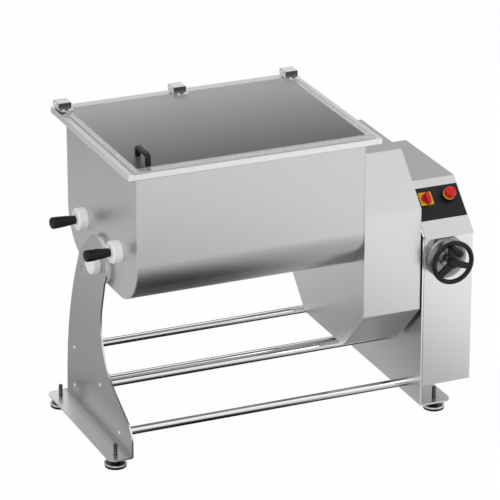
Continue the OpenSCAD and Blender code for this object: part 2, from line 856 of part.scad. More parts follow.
module left_leg() {
    slot = [46, 5];
    slot_start = 95;
    color("silver") machine() difference() {
        union() {
            slab_x(leg_outer, leg_inner) left_leg_outline();
            foot_fold(leg_inner, -1, left_flange);
        }
        bar_x(0, pivot_height, pivot_r + 6, leg_outer - over, leg_inner + over);
        for (p = rod_places) bar_x(p[0], pivot_height + p[1], rod_stud_r, leg_outer - over, leg_inner + over);
        for (rise = [-85, -71]) slab_x(leg_outer - over, leg_inner + over)
            translate([slot_start, pivot_height + rise]) square(slot);
        stud_holes();
    }
}

// Right leg, which is also the column's left wall
module right_leg() {
    back_drop = 180; // the rear edge turns outward this far below the tilt axis
    splay_drop = 300; // and reaches the foot's full depth this far below it
    color("silver") machine() difference() {
        union() {
            slab_x(right_leg_x, column_x) polygon([[-foot_half, plate_foot], [-foot_half, panel_start +
                (column_front - foot_half) * tan(panel_angle)], [-panel_fold, column_top],
                [column_back, column_top], [column_back, pivot_height - back_drop],
                [foot_half, pivot_height - splay_drop], [foot_half, plate_foot]]);
            foot_fold(right_leg_x, 1, right_flange);
        }
        bar_x(0, pivot_height, trunnion_r + 6, right_leg_x - over, column_x + over);
        for (p = rod_places) bar_x(p[0], pivot_height + p[1], rod_stud_r, right_leg_x - over, column_x + over);
        stud_holes();
    }
}

module tie_rods() {
    color("white") machine() for (p = rod_places) {
        z = pivot_height + p[1];
        bar_x(p[0], z, rod_r, leg_inner, right_leg_x);
        bar_x(p[0], z, rod_stud_r, leg_outer - 12, leg_inner);
        bar_x(p[0], z, rod_stud_r, right_leg_x, column_x);
    }
}

module tie_rod_nuts() {
    washer = 2;
    nut = 10;
    dome = 8;
    bore_depth = 13;
    color("silver") machine() for (p = rod_places) translate([leg_outer, p[0], pivot_height + p[1]])
        rotate([0, -90, 0]) difference() {
            union() {
                cylinder(r = 16, h = washer);
                translate([0, 0, washer]) cylinder(r = 13.8, h = nut, $fn = 6);
                translate([0, 0, washer + nut]) cylinder(r1 = 11, r2 = 6, h = dome);
            }
            translate([0, 0, -over]) cylinder(r = rod_stud_r, h = bore_depth + over);
        }
}

module foot_pads() {
    color([0.1, 0.1, 0.1]) machine() for (p = foot_places) translate([p[0], p[1], 0])
        cylinder(r = foot_d / 2 - 1.5, h = foot_pad);
}

module foot_discs() {
    hub_r = 13;
    cone = [foot_d / 2 - 4, 14, 7]; // lower radius, upper radius and height
    hub_top = 18;
    seat = 4;
    color("silver") machine() for (p = foot_places) translate([p[0], p[1], foot_pad]) difference() {
        union() {
            cylinder(r = foot_d / 2, h = foot_rim);
            translate([0, 0, foot_rim]) cylinder(r1 = cone[0], r2 = cone[1], h = cone[2]);
            translate([0, 0, foot_rim + over]) cylinder(r = hub_r, h = hub_top - foot_rim - over);
        }
        translate([0, 0, seat]) cylinder(r = foot_stud_r + hole_gap, h = hub_top);
    }
}

module foot_studs() {
    stud_rise = 36; // stud's end above the flange
    stud_foot = foot_pad + 4;
    stud_top = flange_top + stud_rise;
    color("silver") machine() for (p = foot_places) translate([p[0], p[1], stud_foot])
        turned(foot_stud_r, stud_top - stud_foot, 1.5);
}

module foot_locknuts() {
    height = 7;
    color("silver") machine() for (p = foot_places) translate([p[0], p[1], flange_z - height]) difference() {
        cylinder(r = 12.7, h = height, $fn = 6);
        translate([0, 0, -over]) cylinder(r = foot_stud_r + hole_gap, h = height + 2 * over);
    }
}

// Outline of the column under its hood
module column_outline() {
    under = column_sheet / cos(panel_angle);
    fold_shift = column_sheet * tan(panel_angle / 2);
    polygon([[-column_front, column_bottom], [-column_front, panel_start - under],
        [-panel_fold + fold_shift, column_top - column_sheet], [column_back, column_top - column_sheet],
        [column_back, column_bottom]]);
}

module column_shell() {
    t = column_sheet;
    color("gainsboro") machine() difference() {
        slab_x(column_x, column_right) column_outline();
        block(column_x - over, column_right - t, -column_front + t, column_back + over,
            column_bottom + t, column_top + over);
        bar_y(drive_x, drive_z, wheel_shaft_r + 4, -column_front - over, -column_front + t + over);
    }
}

// Slanted panel and top in one sheet, standing a little over the front wall
module column_hood() {
    t = column_sheet;
    along = [cos(panel_angle), sin(panel_angle)];
    inward = [sin(panel_angle), -cos(panel_angle)];
    lip = [-column_front, panel_start] - hood_lip * along;
    fold_shift = t * tan(panel_angle / 2);
    color("gainsboro") machine() difference() {
        slab_x(column_x + hood_seam, column_right) polygon([lip, [-panel_fold, column_top],
            [column_back, column_top], [column_back, column_top - t],
            [-panel_fold + fold_shift, column_top - t], lip + t * inward]);
        for (place = [switch_place, estop_place]) on_panel(place)
            translate([0, 0, -t - over]) cylinder(r = neck_r + hole_gap, h = t + 2 * over);
    }
}

module column_cover() {
    t = column_sheet;
    color("silver") machine() block(column_x, column_right - t, column_back - t, column_back,
        column_bottom + t, column_top - t);
}

module column_screws() {
    inset = 14;
    color("dimgray") machine() for (x = [column_x + inset, column_right - inset],
        z = [column_bottom + inset, (column_bottom + column_top) / 2, column_top - inset])
        translate([x, column_back, z]) rotate([-90, 0, 0]) turned(5, 3, 1);
}

module panel_label() {
    edge = 2;
    left = column_x + hood_seam + edge;
    color([0.15, 0.15, 0.18]) machine() difference() {
        on_panel([0, 0]) slab_z(0, label_sheet) translate([left, label_from])
            square([column_right - edge - left, label_to - label_from]);
        for (place = [switch_place, estop_place]) on_panel(place)
            translate([0, 0, -over]) cylinder(r = neck_r + hole_gap, h = label_sheet + 2 * over);
    }
}

module switch_plate() {
    color("gold") machine() on_panel(switch_place) translate([0, 0, label_sheet]) difference() {
        slab_z(0, switch_sheet)
            rounded_rect(-switch_side / 2, switch_side / 2, -switch_side / 2, switch_side / 2, 3);
        translate([0, 0, -over]) cylinder(r = neck_r + hole_gap, h = 4);
    }
}

module switch_body() {
    size = 38;
    depth = 34;
    color("dimgray") machine() on_panel(switch_place) difference() {
        union() {
            translate([-size / 2, -size / 2, -column_sheet - depth]) cube([size, size, depth]);
            translate([0, 0, -column_sheet - over])
                cylinder(r = neck_r, h = column_sheet + over + label_sheet + switch_sheet);
        }
        translate([0, 0, -20]) cylinder(r = spindle_r + run_fit, h = 40);
    }
}

module switch_knob() {
    base = label_sheet + switch_sheet + face_gap;
    disc = [16, 7]; // radius and height
    bar = [13, 20]; // width and height of the grip bar
    bar_ends = [-22, 14];
    spindle_depth = 18;
    color("red") machine() on_panel(switch_place) {
        translate([0, 0, -spindle_depth]) cylinder(r = spindle_r, h = spindle_depth + base + over);
        translate([0, 0, base]) turned(disc[0], disc[1], 1.5);
        slab_z(base + disc[1] - 2, base + bar[1])
            rounded_rect(-bar[0] / 2, bar[0] / 2, bar_ends[0], bar_ends[1], 3);
    }
}

module estop_base() {
    base_r = 23;
    nut = [18, 8]; // radius and height of the nut behind the panel
    stem_floor = 1.5;
    color([0.1, 0.1, 0.1]) machine() on_panel(estop_place) difference() {
        union() {
            translate([0, 0, -column_sheet - nut[1] - 4])
                cylinder(r = neck_r, h = column_sheet + nut[1] + 4 + label_sheet + over);
            translate([0, 0, label_sheet]) turned(base_r, estop_base_height, 2);
            translate([0, 0, -column_sheet - nut[1]]) cylinder(r = nut[0], h = nut[1]);
        }
        translate([0, 0, stem_floor])
            cylinder(r = estop_stem_r + run_fit, h = label_sheet + estop_base_height + over);
    }
}

module estop_ring() {
    low = label_sheet + estop_base_height;
    color("gold") machine() on_panel(estop_place) translate([0, 0, low]) difference() {
        cylinder(r = estop_d / 2, h = estop_ring_height);
        translate([0, 0, -over]) cylinder(r = estop_stem_r + run_fit, h = estop_ring_height + 2 * over);
    }
}

module estop_button() {
    stem_end = 1.7 + estop_travel;
    head = label_sheet + estop_base_height + estop_ring_height + face_gap + estop_travel;
    head_height = 16;
    color("red") machine() on_panel(estop_place) {
        translate([0, 0, stem_end]) cylinder(r = estop_stem_r, h = head - stem_end + over);
        translate([0, 0, head]) turned(estop_d / 2, head_height, 3);
    }
}

// Bearing flange of the handwheel's shaft, with a flat under the hood's lip
module wheel_flange() {
    r = 69;
    boss_r = 26;
    color("silver") machine() difference() {
        union() {
            translate([drive_x, -column_front, drive_z]) rotate([90, 0, 0]) turned(r, wheel_flange_length, 4);
            bar_y(drive_x, drive_z, boss_r, -column_front - wheel_boss_length, -column_front - over);
        }
        bar_y(drive_x, drive_z, wheel_shaft_r + run_fit, -column_front - wheel_reach, -column_front + over);
        block(drive_x - r, drive_x + r, -column_front - wheel_reach, -column_front + over,
            lip_low - face_gap, drive_z + r + over);
    }
}

module handwheel() {
    hub_r = 17;
    hub_front = 13;
    hub_back = 16;
    boss_r = 11;
    color([0.12, 0.12, 0.12]) machine() difference() {
        union() {
            translate([drive_x, wheel_y, drive_z]) rotate([90, 0, 0]) {
                rotate_extrude() translate([wheel_ring_r, 0]) circle(wheel_tube_r);
                for (a = spoke_angles) rotate([0, 0, a]) rotate([0, 90, 0])
                    cylinder(r1 = 9, r2 = 7, h = wheel_ring_r);
            }
            bar_y(drive_x, drive_z, hub_r, wheel_y - hub_front, wheel_y + hub_back);
            bar_y(grip_x, grip_z, boss_r, wheel_y - grip_boss_front, wheel_y + 9);
        }
        bar_y(drive_x, drive_z, wheel_shaft_r, wheel_y - 8, wheel_y + hub_back + over);
        bar_y(grip_x, grip_z, grip_pin_r, wheel_y - 20, wheel_y);
    }
}

module grip_pin() {
    color("silver") machine() bar_y(grip_x, grip_z, grip_pin_r, grip_end + 6, wheel_y);
}

module wheel_grip() {
    start_r = 9.5;
    belly_r = 12.5;
    end_r = 8;
    belly_y = grip_start - grip_length * 0.7;
    color([0.1, 0.1, 0.1]) machine() difference() {
        union() {
            bar_y(grip_x, grip_z, belly_r, belly_y, grip_start, start_r);
            bar_y(grip_x, grip_z, end_r, grip_end, belly_y, belly_r);
        }
        bar_y(grip_x, grip_z, grip_pin_r + run_fit, grip_end + 5, grip_start + over);
    }
}

// Gearbox on a bracket in the housing, with the motor hanging under it
module gearmotor() {
    gear_room = 6; // between the idler gear and the gearbox
    foot_half_y = 40;
    plate_half_y = 60;
    plate_drop = 30;
    shelf = [6, 18]; // underside and top of the foot above the gearbox's underside
    box_x = gear_x + gear_width / 2 + gear_room;
    box_w = 96;
    box_half = 55;
    box_drop = 110;
    box_rise = 60;
    motor_r = 52;
    motor_drop = 310;
    motor_x = box_x + box_w / 2;
    low = shaft_z - box_drop;
    foot_low = shaft_z - motor_drop;
    color("slategray") machine() difference() {
        union() {
            block(box_x, box_x + box_w, -gear_pitch_r - box_half, -gear_pitch_r + box_half, low,
                shaft_z + box_rise);
            translate([motor_x, -gear_pitch_r, foot_low]) cylinder(r = motor_r, h = low - foot_low + over);
            translate([motor_x, -gear_pitch_r, foot_low + 14]) cylinder(r = motor_r + 3, h = 40);
            block(housing_left + cover_sheet, box_x + over, -gear_pitch_r - foot_half_y,
                -gear_pitch_r + foot_half_y, low + shelf[0], low + shelf[1]);
            block(housing_left + cover_sheet, housing_left + cover_sheet + 8, -gear_pitch_r - plate_half_y,
                -gear_pitch_r + plate_half_y, low - plate_drop, low + shelf[1]);
        }
        bar_x(-gear_pitch_r, shaft_z, motor_shaft_r + run_fit, box_x - over, box_x + 20);
    }
}

left_leg();
right_leg();
tie_rods();
tie_rod_nuts();
foot_pads();
foot_discs();
foot_studs();
foot_locknuts();
column_shell();
column_hood();
column_cover();
column_screws();
panel_label();
switch_body();
switch_plate();
switch_knob();
estop_base();
estop_ring();
estop_button();
wheel_flange();
wheel_shaft();
worm();
handwheel();
grip_pin();
wheel_grip();
worm_bracket();
pivot_bushes();
pivot_cap();
pivot_pin();
pivot_spacer();
tank_trough();
tank_end_left();
tank_end_right();
tank_rim();
hinge_brackets();
hinge_leaves();
hinge_pins();
hinge_screws();
lid();
lid_handle();
shaft_caps();
shaft_bushes();
shaft_bearings();
gear_housing();
housing_cover();
housing_screws();
tilt_trunnion();
worm_wheel();
gearmotor();
agitator_front();
agitator_rear();
gear_front();
gear_rear();
idler_front();
idler_rear();
release_pin_front();
release_pin_rear();
pin_handle_front();
pin_handle_rear();
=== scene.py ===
"""Looks of the tilting meat mixer.

Satin stainless tank and column, a lid sheet with a painted reflection, white caps, black grips and
polished bars.
"""

import json
import math

import bmesh
import bpy
from mathutils import Matrix, Vector

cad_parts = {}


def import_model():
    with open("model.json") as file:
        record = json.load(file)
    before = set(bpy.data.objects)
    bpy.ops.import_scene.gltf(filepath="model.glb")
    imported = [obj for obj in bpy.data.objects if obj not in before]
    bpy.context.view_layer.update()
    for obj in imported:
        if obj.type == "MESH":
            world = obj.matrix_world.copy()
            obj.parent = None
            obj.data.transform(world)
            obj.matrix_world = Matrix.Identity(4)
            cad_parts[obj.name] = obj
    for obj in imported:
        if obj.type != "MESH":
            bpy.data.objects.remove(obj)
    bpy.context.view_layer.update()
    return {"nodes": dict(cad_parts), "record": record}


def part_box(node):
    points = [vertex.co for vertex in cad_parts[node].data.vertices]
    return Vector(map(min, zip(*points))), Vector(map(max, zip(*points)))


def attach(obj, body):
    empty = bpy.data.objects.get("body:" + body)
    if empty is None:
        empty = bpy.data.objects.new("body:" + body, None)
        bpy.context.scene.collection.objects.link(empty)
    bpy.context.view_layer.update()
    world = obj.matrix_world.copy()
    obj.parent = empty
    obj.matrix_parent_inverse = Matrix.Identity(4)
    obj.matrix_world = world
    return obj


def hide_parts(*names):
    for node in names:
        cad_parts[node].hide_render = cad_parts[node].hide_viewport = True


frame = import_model()
NODES = frame["nodes"]
JOINTS = {joint["name"]: joint for joint in frame["record"]["behaviour"]["joints"]}
MM = 0.001
TURN = 2 * math.pi
LEFT = (-1, 0, 0)
RIGHT = (1, 0, 0)
FRONT = (0, -1, 0)
UP = (0, 0, 1)


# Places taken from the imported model

def joint_place(name):
    """Where a joint's axis passes."""
    return Vector(JOINTS[name]["pos_m"])


TILT = joint_place("tank_tilt")
MID_X = TILT.x
MID_Y = TILT.y
PANEL_NORMAL = -Vector(JOINTS["main_switch"]["axis"])
FRONT_SHAFT = joint_place("agitator_front_spin")
REAR_SHAFT = joint_place("agitator_rear_spin")
WHEEL = joint_place("handwheel_turn")
GRIP = joint_place("wheel_grip_spin")
TANK_SHEET = 2 * MM
LEG_SHEET = 6 * MM
LEG_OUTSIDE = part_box("left_leg")[1].x - LEG_SHEET
LOBE = FRONT_SHAFT.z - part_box("tank_trough")[0].z

# Corners nearer than this are merged
MERGED = 1e-6


# Shader sockets with arithmetic

# Places of the Mix node's sockets for colours
MIX_FACTOR = 0
MIX_FIRST = 6
MIX_SECOND = 7
MIX_RESULT = 2


class Value:
    """A shader socket that can be used in plain expressions."""

    def __init__(self, nodes, socket):
        self.nodes = nodes
        self.socket = socket

    def __add__(self, other):
        return self.nodes.maths("ADD", self, other)

    __radd__ = __add__

    def __sub__(self, other):
        return self.nodes.maths("SUBTRACT", self, other)

    def __rsub__(self, other):
        return self.nodes.maths("SUBTRACT", other, self)

    def __mul__(self, other):
        return self.nodes.maths("MULTIPLY", self, other)

    __rmul__ = __mul__


class Nodes:
    """A shader tree, written from empty."""

    def __init__(self, tree):
        self.tree = tree
        self.tree.nodes.clear()

    def node(self, kind, settings=None, inputs=None, output=0):
        """Makes a node of any type and gives one of its outputs."""
        fresh = self.tree.nodes.new(kind)
        for name, setting in (settings or {}).items():
            setattr(fresh, name, setting)
        for name, value in (inputs or {}).items():
            self.plug(value, fresh.inputs[name])
        return Value(self, fresh.outputs[output])

    def plug(self, value, socket):
        """Links a value to a socket, or sets a plain number or colour on it."""
        if isinstance(value, Value):
            self.tree.links.new(value.socket, socket)
        else:
            socket.default_value = value

    def maths(self, operation, first, second):
        """A sum on two numbers."""
        return self.node("ShaderNodeMath", {"operation": operation}, {0: first, 1: second})

    def vector_maths(self, operation, first, second=(0, 0, 0), output=0):
        """A sum on two vectors, or on the first alone."""
        return self.node("ShaderNodeVectorMath", {"operation": operation}, {0: first, 1: second}, output)

    def place(self, kind="Object"):
        """Where a point lies."""
        return self.node("ShaderNodeTexCoord", output=kind)

    def part(self, vector, letter):
        """One of a vector's three numbers."""
        return self.node("ShaderNodeSeparateXYZ", {}, {0: vector}, letter)

    def levels(self, factor, stops):
        """Grey levels along a factor, as (place, level) pairs."""
        ramp = self.node("ShaderNodeValToRGB", {}, {"Fac": factor})
        elements = ramp.socket.node.color_ramp.elements
        while len(elements) < len(stops):
            elements.new(0.5)
        for element, (place, level) in zip(elements, stops):
            element.position = place
            element.color = (level, level, level, 1)
        return ramp

    def blend(self, factor, first, second, kind="MIX"):
        """Mixes two colours, which fades from the first to the second unless another kind is named."""
        first, second = (end if isinstance(end, Value) else (*end, 1) for end in (first, second))
        return self.node("ShaderNodeMix", {"data_type": "RGBA", "blend_type": kind},
                         {MIX_FACTOR: factor, MIX_FIRST: first, MIX_SECOND: second}, MIX_RESULT)

    def product(self, first, second):
        """Two colours multiplied."""
        return self.blend(1.0, first, second, "MULTIPLY")


class Finish(Nodes):
    """A material and the nodes that make its look."""

    def __init__(self, name, **constants):
        self.material = bpy.data.materials.new(name)
        self.material.use_nodes = True
        super().__init__(self.material.node_tree)
        self.surface = self.tree.nodes.new("ShaderNodeBsdfPrincipled")
        self.output = self.tree.nodes.new("ShaderNodeOutputMaterial")
        self.tree.links.new(self.surface.outputs[0], self.output.inputs["Surface"])
        self.feed(**constants)

    def feed(self, **values):
        """Sets or links the surface's sockets, named with _ for a space."""
        for name, value in values.items():
            self.plug(value, self.surface.inputs[name.replace("_", " ")])

    def noise(self, scale, detail=3.0, roughness=0.5, stretch=(1, 1, 1)):
        """Cloudy values around 0.5 on the object's own coordinates."""
        place = self.node("ShaderNodeMapping", {}, {"Vector": self.place(), "Scale": stretch})
        return self.node("ShaderNodeTexNoise", {}, {"Vector": place, "Scale": scale, "Detail": detail,
                                                    "Roughness": roughness})

    def bump(self, height, strength, distance):
        """Fine relief from a height."""
        return self.node("ShaderNodeBump", {}, {"Height": height, "Strength": strength,
                                                "Distance": distance})


def shades(colour, low, high):
    """A colour's darker and lighter forms."""
    return [low * part for part in colour], [min(1.0, high * part) for part in colour]


# Finishes

# Grinding marks per metre
MARK_ACROSS = 900.0
MARK_LENGTHWISE = 9.0


def satin_steel(name, shade, roughness, brushed, grain=1.0):
    """Ground stainless steel. brushed is the axis along which the grinding marks run."""
    finish = Finish(name, Metallic=1.0)
    stretch = tuple(MARK_LENGTHWISE if axis == brushed else MARK_ACROSS for axis in "XYZ")
    marks = finish.noise(1.0, 2.0, 0.6, stretch)
    clouds = finish.noise(2.5, 2.0, 0.5)
    handled = finish.noise(16.0, 4.0, 0.6)
    uneven = (clouds - 0.5) * 0.05 + (handled - 0.5) * 0.03 + (marks - 0.5) * 0.08 * grain
    finish.feed(Roughness=uneven + roughness,
                Base_Color=finish.blend(clouds * 0.4 + marks * 0.6, *shades(shade, 0.95, 1.05)),
                Normal=finish.bump(marks, 0.03 * grain, 0.0002))
    return finish.material


def bright_steel(name, shade, roughness):
    """Polished steel, with faint turning marks and fingerprints."""
    finish = Finish(name, Metallic=1.0)
    prints = finish.noise(60.0, 4.0, 0.6)
    clouds = finish.noise(9.0, 2.0, 0.5)
    finish.feed(Roughness=(prints - 0.5) * 0.05 + (clouds - 0.5) * 0.03 + roughness,
                Base_Color=finish.blend(clouds, *shades(shade, 0.96, 1.0)))
    return finish.material


def polished_bar(name, roughness):
    """Polished bar, with a painted highlight along its sides, painted shade below and a thin painted grey
    line along its top.

    Its attribute lift is a point's height over the bar's axis, as a share of the radius.
    """
    finish = Finish(name, Metallic=1.0)
    prints = finish.noise(60.0, 4.0, 0.6)
    lift = finish.node("ShaderNodeAttribute", {"attribute_name": "lift"}, {}, "Fac") * 0.5 + 0.5
    # Painted light: dark below the axis, a bright highlight across the sides and a thin grey line at the
    # very top.
    bands = [(0.0, 0.03), (0.32, 0.05), (0.40, 0.97), (0.984, 0.97), (0.994, 0.25), (1.0, 0.25)]
    finish.feed(Roughness=(prints - 0.5) * 0.04 + roughness, Base_Color=finish.levels(lift, bands))
    return finish.material


def moulded_plastic(name, shade, roughness, grain_size=900.0, shine=0.5, scuffs=0.04):
    """Moulded plastic with a fine spark-eroded grain, slightly scuffed."""
    finish = Finish(name, Specular_IOR_Level=shine)
    grain = finish.noise(grain_size, 2.0, 0.5)
    wear_and_painted_light = finish.noise(35.0, 4.0, 0.65)
    tone_and_painted_reflection = finish.noise(7.0, 2.0, 0.5)
    finish.feed(Roughness=(wear_and_painted_light - 0.5) * 2 * scuffs + roughness,
                Base_Color=finish.blend(tone_and_painted_reflection * 0.5 + wear_and_painted_light * 0.5, *shades(shade, 0.94, 1.06)),
                Normal=finish.bump(grain, 0.10, 0.0002))
    return finish.material


def cast_metal(name, shade, roughness, metallic):
    """Pitted and stained castings."""
    finish = Finish(name, Metallic=metallic)
    pits = finish.noise(350.0, 4.0, 0.6)
    stains = finish.noise(14.0, 4.0, 0.6)
    finish.feed(Roughness=(stains - 0.5) * 0.2 + roughness,
                Base_Color=finish.blend(stains, *shades(shade, 0.8, 1.15)),
                Normal=finish.bump(pits, 0.3, 0.0006))
    return finish.material


def sheet_with_painted_reflection(name, low, high):
    """Lid sheet: frosted over the opening between low and high, where a painted reflection darkens it
    toward the front, and polished clear along its margin.
    """
    finish = Finish(name, Transmission_Weight=0.82, IOR=1.49)
    where = finish.place()
    middle = (low + high) / 2
    half = (high - low) / 2
    off = finish.vector_maths("ABSOLUTE", finish.vector_maths("SUBTRACT", where, (middle.x, middle.y, 0)))
    within_x = finish.maths("LESS_THAN", finish.part(off, "X"), half.x)
    within_y = finish.maths("LESS_THAN", finish.part(off, "Y"), half.y)
    inside = within_x * within_y
    # Painted reflection: over the opening the sheet's colour darkens from the back toward the front.
    back = finish.part(where, "Y") * (0.5 / half.y) + (0.5 - middle.y * 0.5 / half.y)
    tone_and_painted_reflection = finish.levels(back, [(0.0, 0.22), (0.5, 0.62), (1.0, 1.0)])
    haze = finish.noise(4.0, 3.0, 0.5)
    marks = finish.noise(90.0, 3.0, 0.6)
    finish.feed(Base_Color=finish.blend(inside, (0.97, 0.97, 0.97), tone_and_painted_reflection),
                Roughness=inside * ((marks - 0.5) * 0.06 + (haze - 0.5) * 0.03 + 0.27) + 0.04)
    return finish.material


def folded_plate(name, shade, outer, fold):
    """Leg plate with painted light toward its foot flange's outer edge and painted shade at its fold, two
    places in X.
    """
    finish = Finish(name, Metallic=1.0)
    marks = finish.noise(1.0, 2.0, 0.6, (MARK_ACROSS, MARK_ACROSS, MARK_LENGTHWISE))
    clouds = finish.noise(2.5, 2.0, 0.5)
    scale = 0.5 / (fold - outer)
    across = finish.part(finish.place(), "X") * scale - outer * scale
    # Painted light toward the flange's outer edge and painted shade in the fold.
    wear_and_painted_light = finish.levels(across, [(0.0, 1.0), (0.25, 1.0), (0.40, 0.78), (0.49, 0.46), (0.51, 0.52),
                                  (0.53, 0.70), (0.7, 0.72)])
    steel = finish.blend(clouds * 0.4 + marks * 0.6, *shades(shade, 0.95, 1.05))
    finish.feed(Roughness=(clouds - 0.5) * 0.05 + (marks - 0.5) * 0.08 + 0.30,
                Base_Color=finish.product(steel, wear_and_painted_light), Normal=finish.bump(marks, 0.03, 0.0002))
    return finish.material


SHEET = satin_steel("Stainless sheet ground along X", (0.64, 0.64, 0.64), 0.30, "X")
RIM = satin_steel("Stainless sheet of the rim", (0.82, 0.82, 0.82), 0.28, "X")
ENDS = satin_steel("Stainless sheet of the tank ends", (0.61, 0.61, 0.61), 0.37, "Z")
# Toned copies of the stainless sheet: painted shade on level tops and the housing's lower slope, painted
# light on its left side.
LEVEL_PAINTED_SHADE = satin_steel("Stainless sheet of the level tops", (0.52, 0.52, 0.52), 0.30, "X")
SHEET_UP = satin_steel("Stainless sheet ground upright", (0.74, 0.74, 0.74), 0.29, "Z")
SLOPE_PAINTED_SHADE = satin_steel("Stainless sheet of the housing's lower slope", (0.42, 0.42, 0.42), 0.29, "Z")
SIDE_PAINTED_LIGHT = satin_steel("Stainless sheet of the housing's left side", (0.97, 0.97, 0.97), 0.29, "Z")
EDGE_HIGHLIGHT = bright_steel("Polished cut edge", (0.97, 0.97, 0.97), 0.22)
COLUMN = satin_steel("Stainless sheet of the column", (0.78, 0.78, 0.78), 0.22, "Z")
LEFT_PLATE = folded_plate("Folded plate of the left leg", (0.95, 0.95, 0.95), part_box("left_leg")[0].x,
                          LEG_OUTSIDE)
PLATE = satin_steel("Stainless plate of the legs", (0.70, 0.70, 0.70), 0.30, "Z")
BRACKET = satin_steel("Hinge steel", (0.97, 0.97, 0.97), 0.25, "X")
# Painted shade for the forward faces of the hinge webs.
SHADED = satin_steel("Unpolished inner face of a hinge", (0.10, 0.10, 0.10), 0.5, "X")
# Turned steel darkened as painted shade, for the bearing flange behind the handwheel.
TURNED_IN_PAINTED_SHADE = satin_steel("Turned steel", (0.32, 0.32, 0.32), 0.34, "Y", 0.6)
PADDLE = satin_steel("Paddle steel", (0.58, 0.58, 0.58), 0.32, "X", 0.8)
GEAR = satin_steel("Oiled gear steel", (0.42, 0.42, 0.43), 0.34, "X", 0.6)
BAR = polished_bar("Polished bar", 0.05)
BRIGHT = bright_steel("Bright fasteners", (0.80, 0.80, 0.81), 0.12)
# Painted dark reflection on the foot discs and studs, painted highlight on the hems.
FOOT_PAINTED_DARK = bright_steel("Polished foot", (0.16, 0.16, 0.16), 0.08)
HEM_PAINTED_HIGHLIGHT = bright_steel("Bright hem of a foot", (0.97, 0.97, 0.97), 0.15)
STUD_PAINTED_DARK = bright_steel("Threaded stud", (0.09, 0.09, 0.09), 0.06)
BRONZE = cast_metal("Bearing bronze", (0.72, 0.50, 0.24), 0.35, 1.0)
IRON = cast_metal("Painted cast iron", (0.10, 0.115, 0.13), 0.5, 0.0)
RUBBER = moulded_plastic("Black rubber", (0.012, 0.012, 0.012), 0.75, 500.0, 0.2)
BLACK = moulded_plastic("Black moulded plastic", (0.007, 0.007, 0.007), 0.34, 700.0, 0.3)
ESTOP_BLACK = moulded_plastic("Black button collar", (0.008, 0.008, 0.009), 0.42, shine=0.3)
WHITE = moulded_plastic("White turned plastic", (0.93, 0.93, 0.93), 0.36, 500.0, scuffs=0.05)
RED = moulded_plastic("Red plastic", (0.60, 0.006, 0.008), 0.36, 800.0, 0.35)
YELLOW = moulded_plastic("Yellow plastic", (0.78, 0.46, 0.01), 0.40, 800.0, 0.3)
FOIL = moulded_plastic("Near-black panel foil", (0.013, 0.013, 0.017), 0.45, 1200.0, 0.25)
INK = moulded_plastic("Black print", (0.01, 0.01, 0.01), 0.6, 1200.0)
LID_EDGE = moulded_plastic("Sawn edge of the lid sheet", (0.50, 0.50, 0.50), 0.4)
LID = sheet_with_painted_reflection("Smoked lid sheet", *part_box("tank_trough"))


# Outlines

def fractions(count):
    """Equal steps up to 1, without 0."""
    return [step / count for step in range(1, count + 1)]


def arc(centre, radius, start, end, steps=10):
    """Points of an arc in a plane, angles in degrees."""
    turns = [math.radians(start + (end - start) * step / steps) for step in range(steps + 1)]
    return [(centre[0] + radius * math.cos(turn), centre[1] + radius * math.sin(turn)) for turn in turns]


def dome(radius, base, height, steps=10):
    """Points that close a turned end: a quarter ellipse from the widest circle at base to the tip."""
    turns = [math.pi / 2 * step / steps for step in range(1, steps + 1)]
    return [(radius * math.cos(turn), base + height * math.sin(turn)) for turn in turns]


def rounded(points, radius, steps=4):
    """An open profile with its inner corners rounded. radius may be one number or one for each corner."""
    radii = radius if isinstance(radius, (list, tuple)) else [radius] * (len(points) - 2)
    result = [Vector(points[0])]
    for index, size in enumerate(radii):
        before, corner, after = (Vector(points[index + offset]) for offset in range(3))
        one = (before - corner).normalized()
        two = (after - corner).normalized()
        reach = size / math.tan(one.angle(two) / 2)
        centre = corner + (one + two).normalized() * size / math.sin(one.angle(two) / 2)
        first = corner + one * reach - centre
        sweep = first.angle_signed(corner + two * reach - centre)
        for step in range(steps + 1):
            turn = Matrix.Rotation(-sweep * step / steps, 2)
            result.append(centre + turn @ first)
    return result + [Vector(points[-1])]


def closed(profile):
    """A profile that ends where it starts."""
    return profile + [profile[0]]


# Mesh tools

def facing(place, direction, axis="Z"):
    """The matrix that moves to a place and turns an axis in a direction."""
    return Matrix.Translation(place) @ Vector(direction).to_track_quat(axis, "Y").to_matrix().to_4x4()


def new_verts(grown):
    """The vertices among what an extrusion made."""
    return [item for item in grown if isinstance(item, bmesh.types.BMVert)]


def lathe(bm, profile, centre, axis, segments=72):
    """Turns a profile of (radius, distance along the axis) about the axis."""
    centre = Vector(centre)
    axis = Vector(axis).normalized()
    side = axis.orthogonal().normalized()
    verts = [bm.verts.new(centre + side * radius + axis * along) for radius, along in profile]
    edges = [bm.edges.new(pair) for pair in zip(verts, verts[1:])]
    bmesh.ops.spin(bm, geom=verts + edges, cent=centre, axis=axis, angle=TURN, steps=segments,
                   use_merge=True)


def bevel(bm, edges, width, segments, clamp=False):
    """Rounds edges evenly."""
    bmesh.ops.bevel(bm, geom=edges, offset=width, affect="EDGES", segments=segments, profile=0.5,
                    material=-1, clamp_overlap=clamp)


def soften(bm, width, segments=3, angle=30, where=None):
    """Bevels the edges that turn by more than angle, or only those of them that where picks."""
    bmesh.ops.remove_doubles(bm, verts=bm.verts, dist=MERGED)
    bmesh.ops.recalc_face_normals(bm, faces=bm.faces)
    limit = math.radians(angle)
    edges = [edge for edge in bm.edges if len(edge.link_faces) == 2 and edge.calc_face_angle(0) > limit
             and (where is None or where(edge))]
    bevel(bm, edges, width, segments, True)


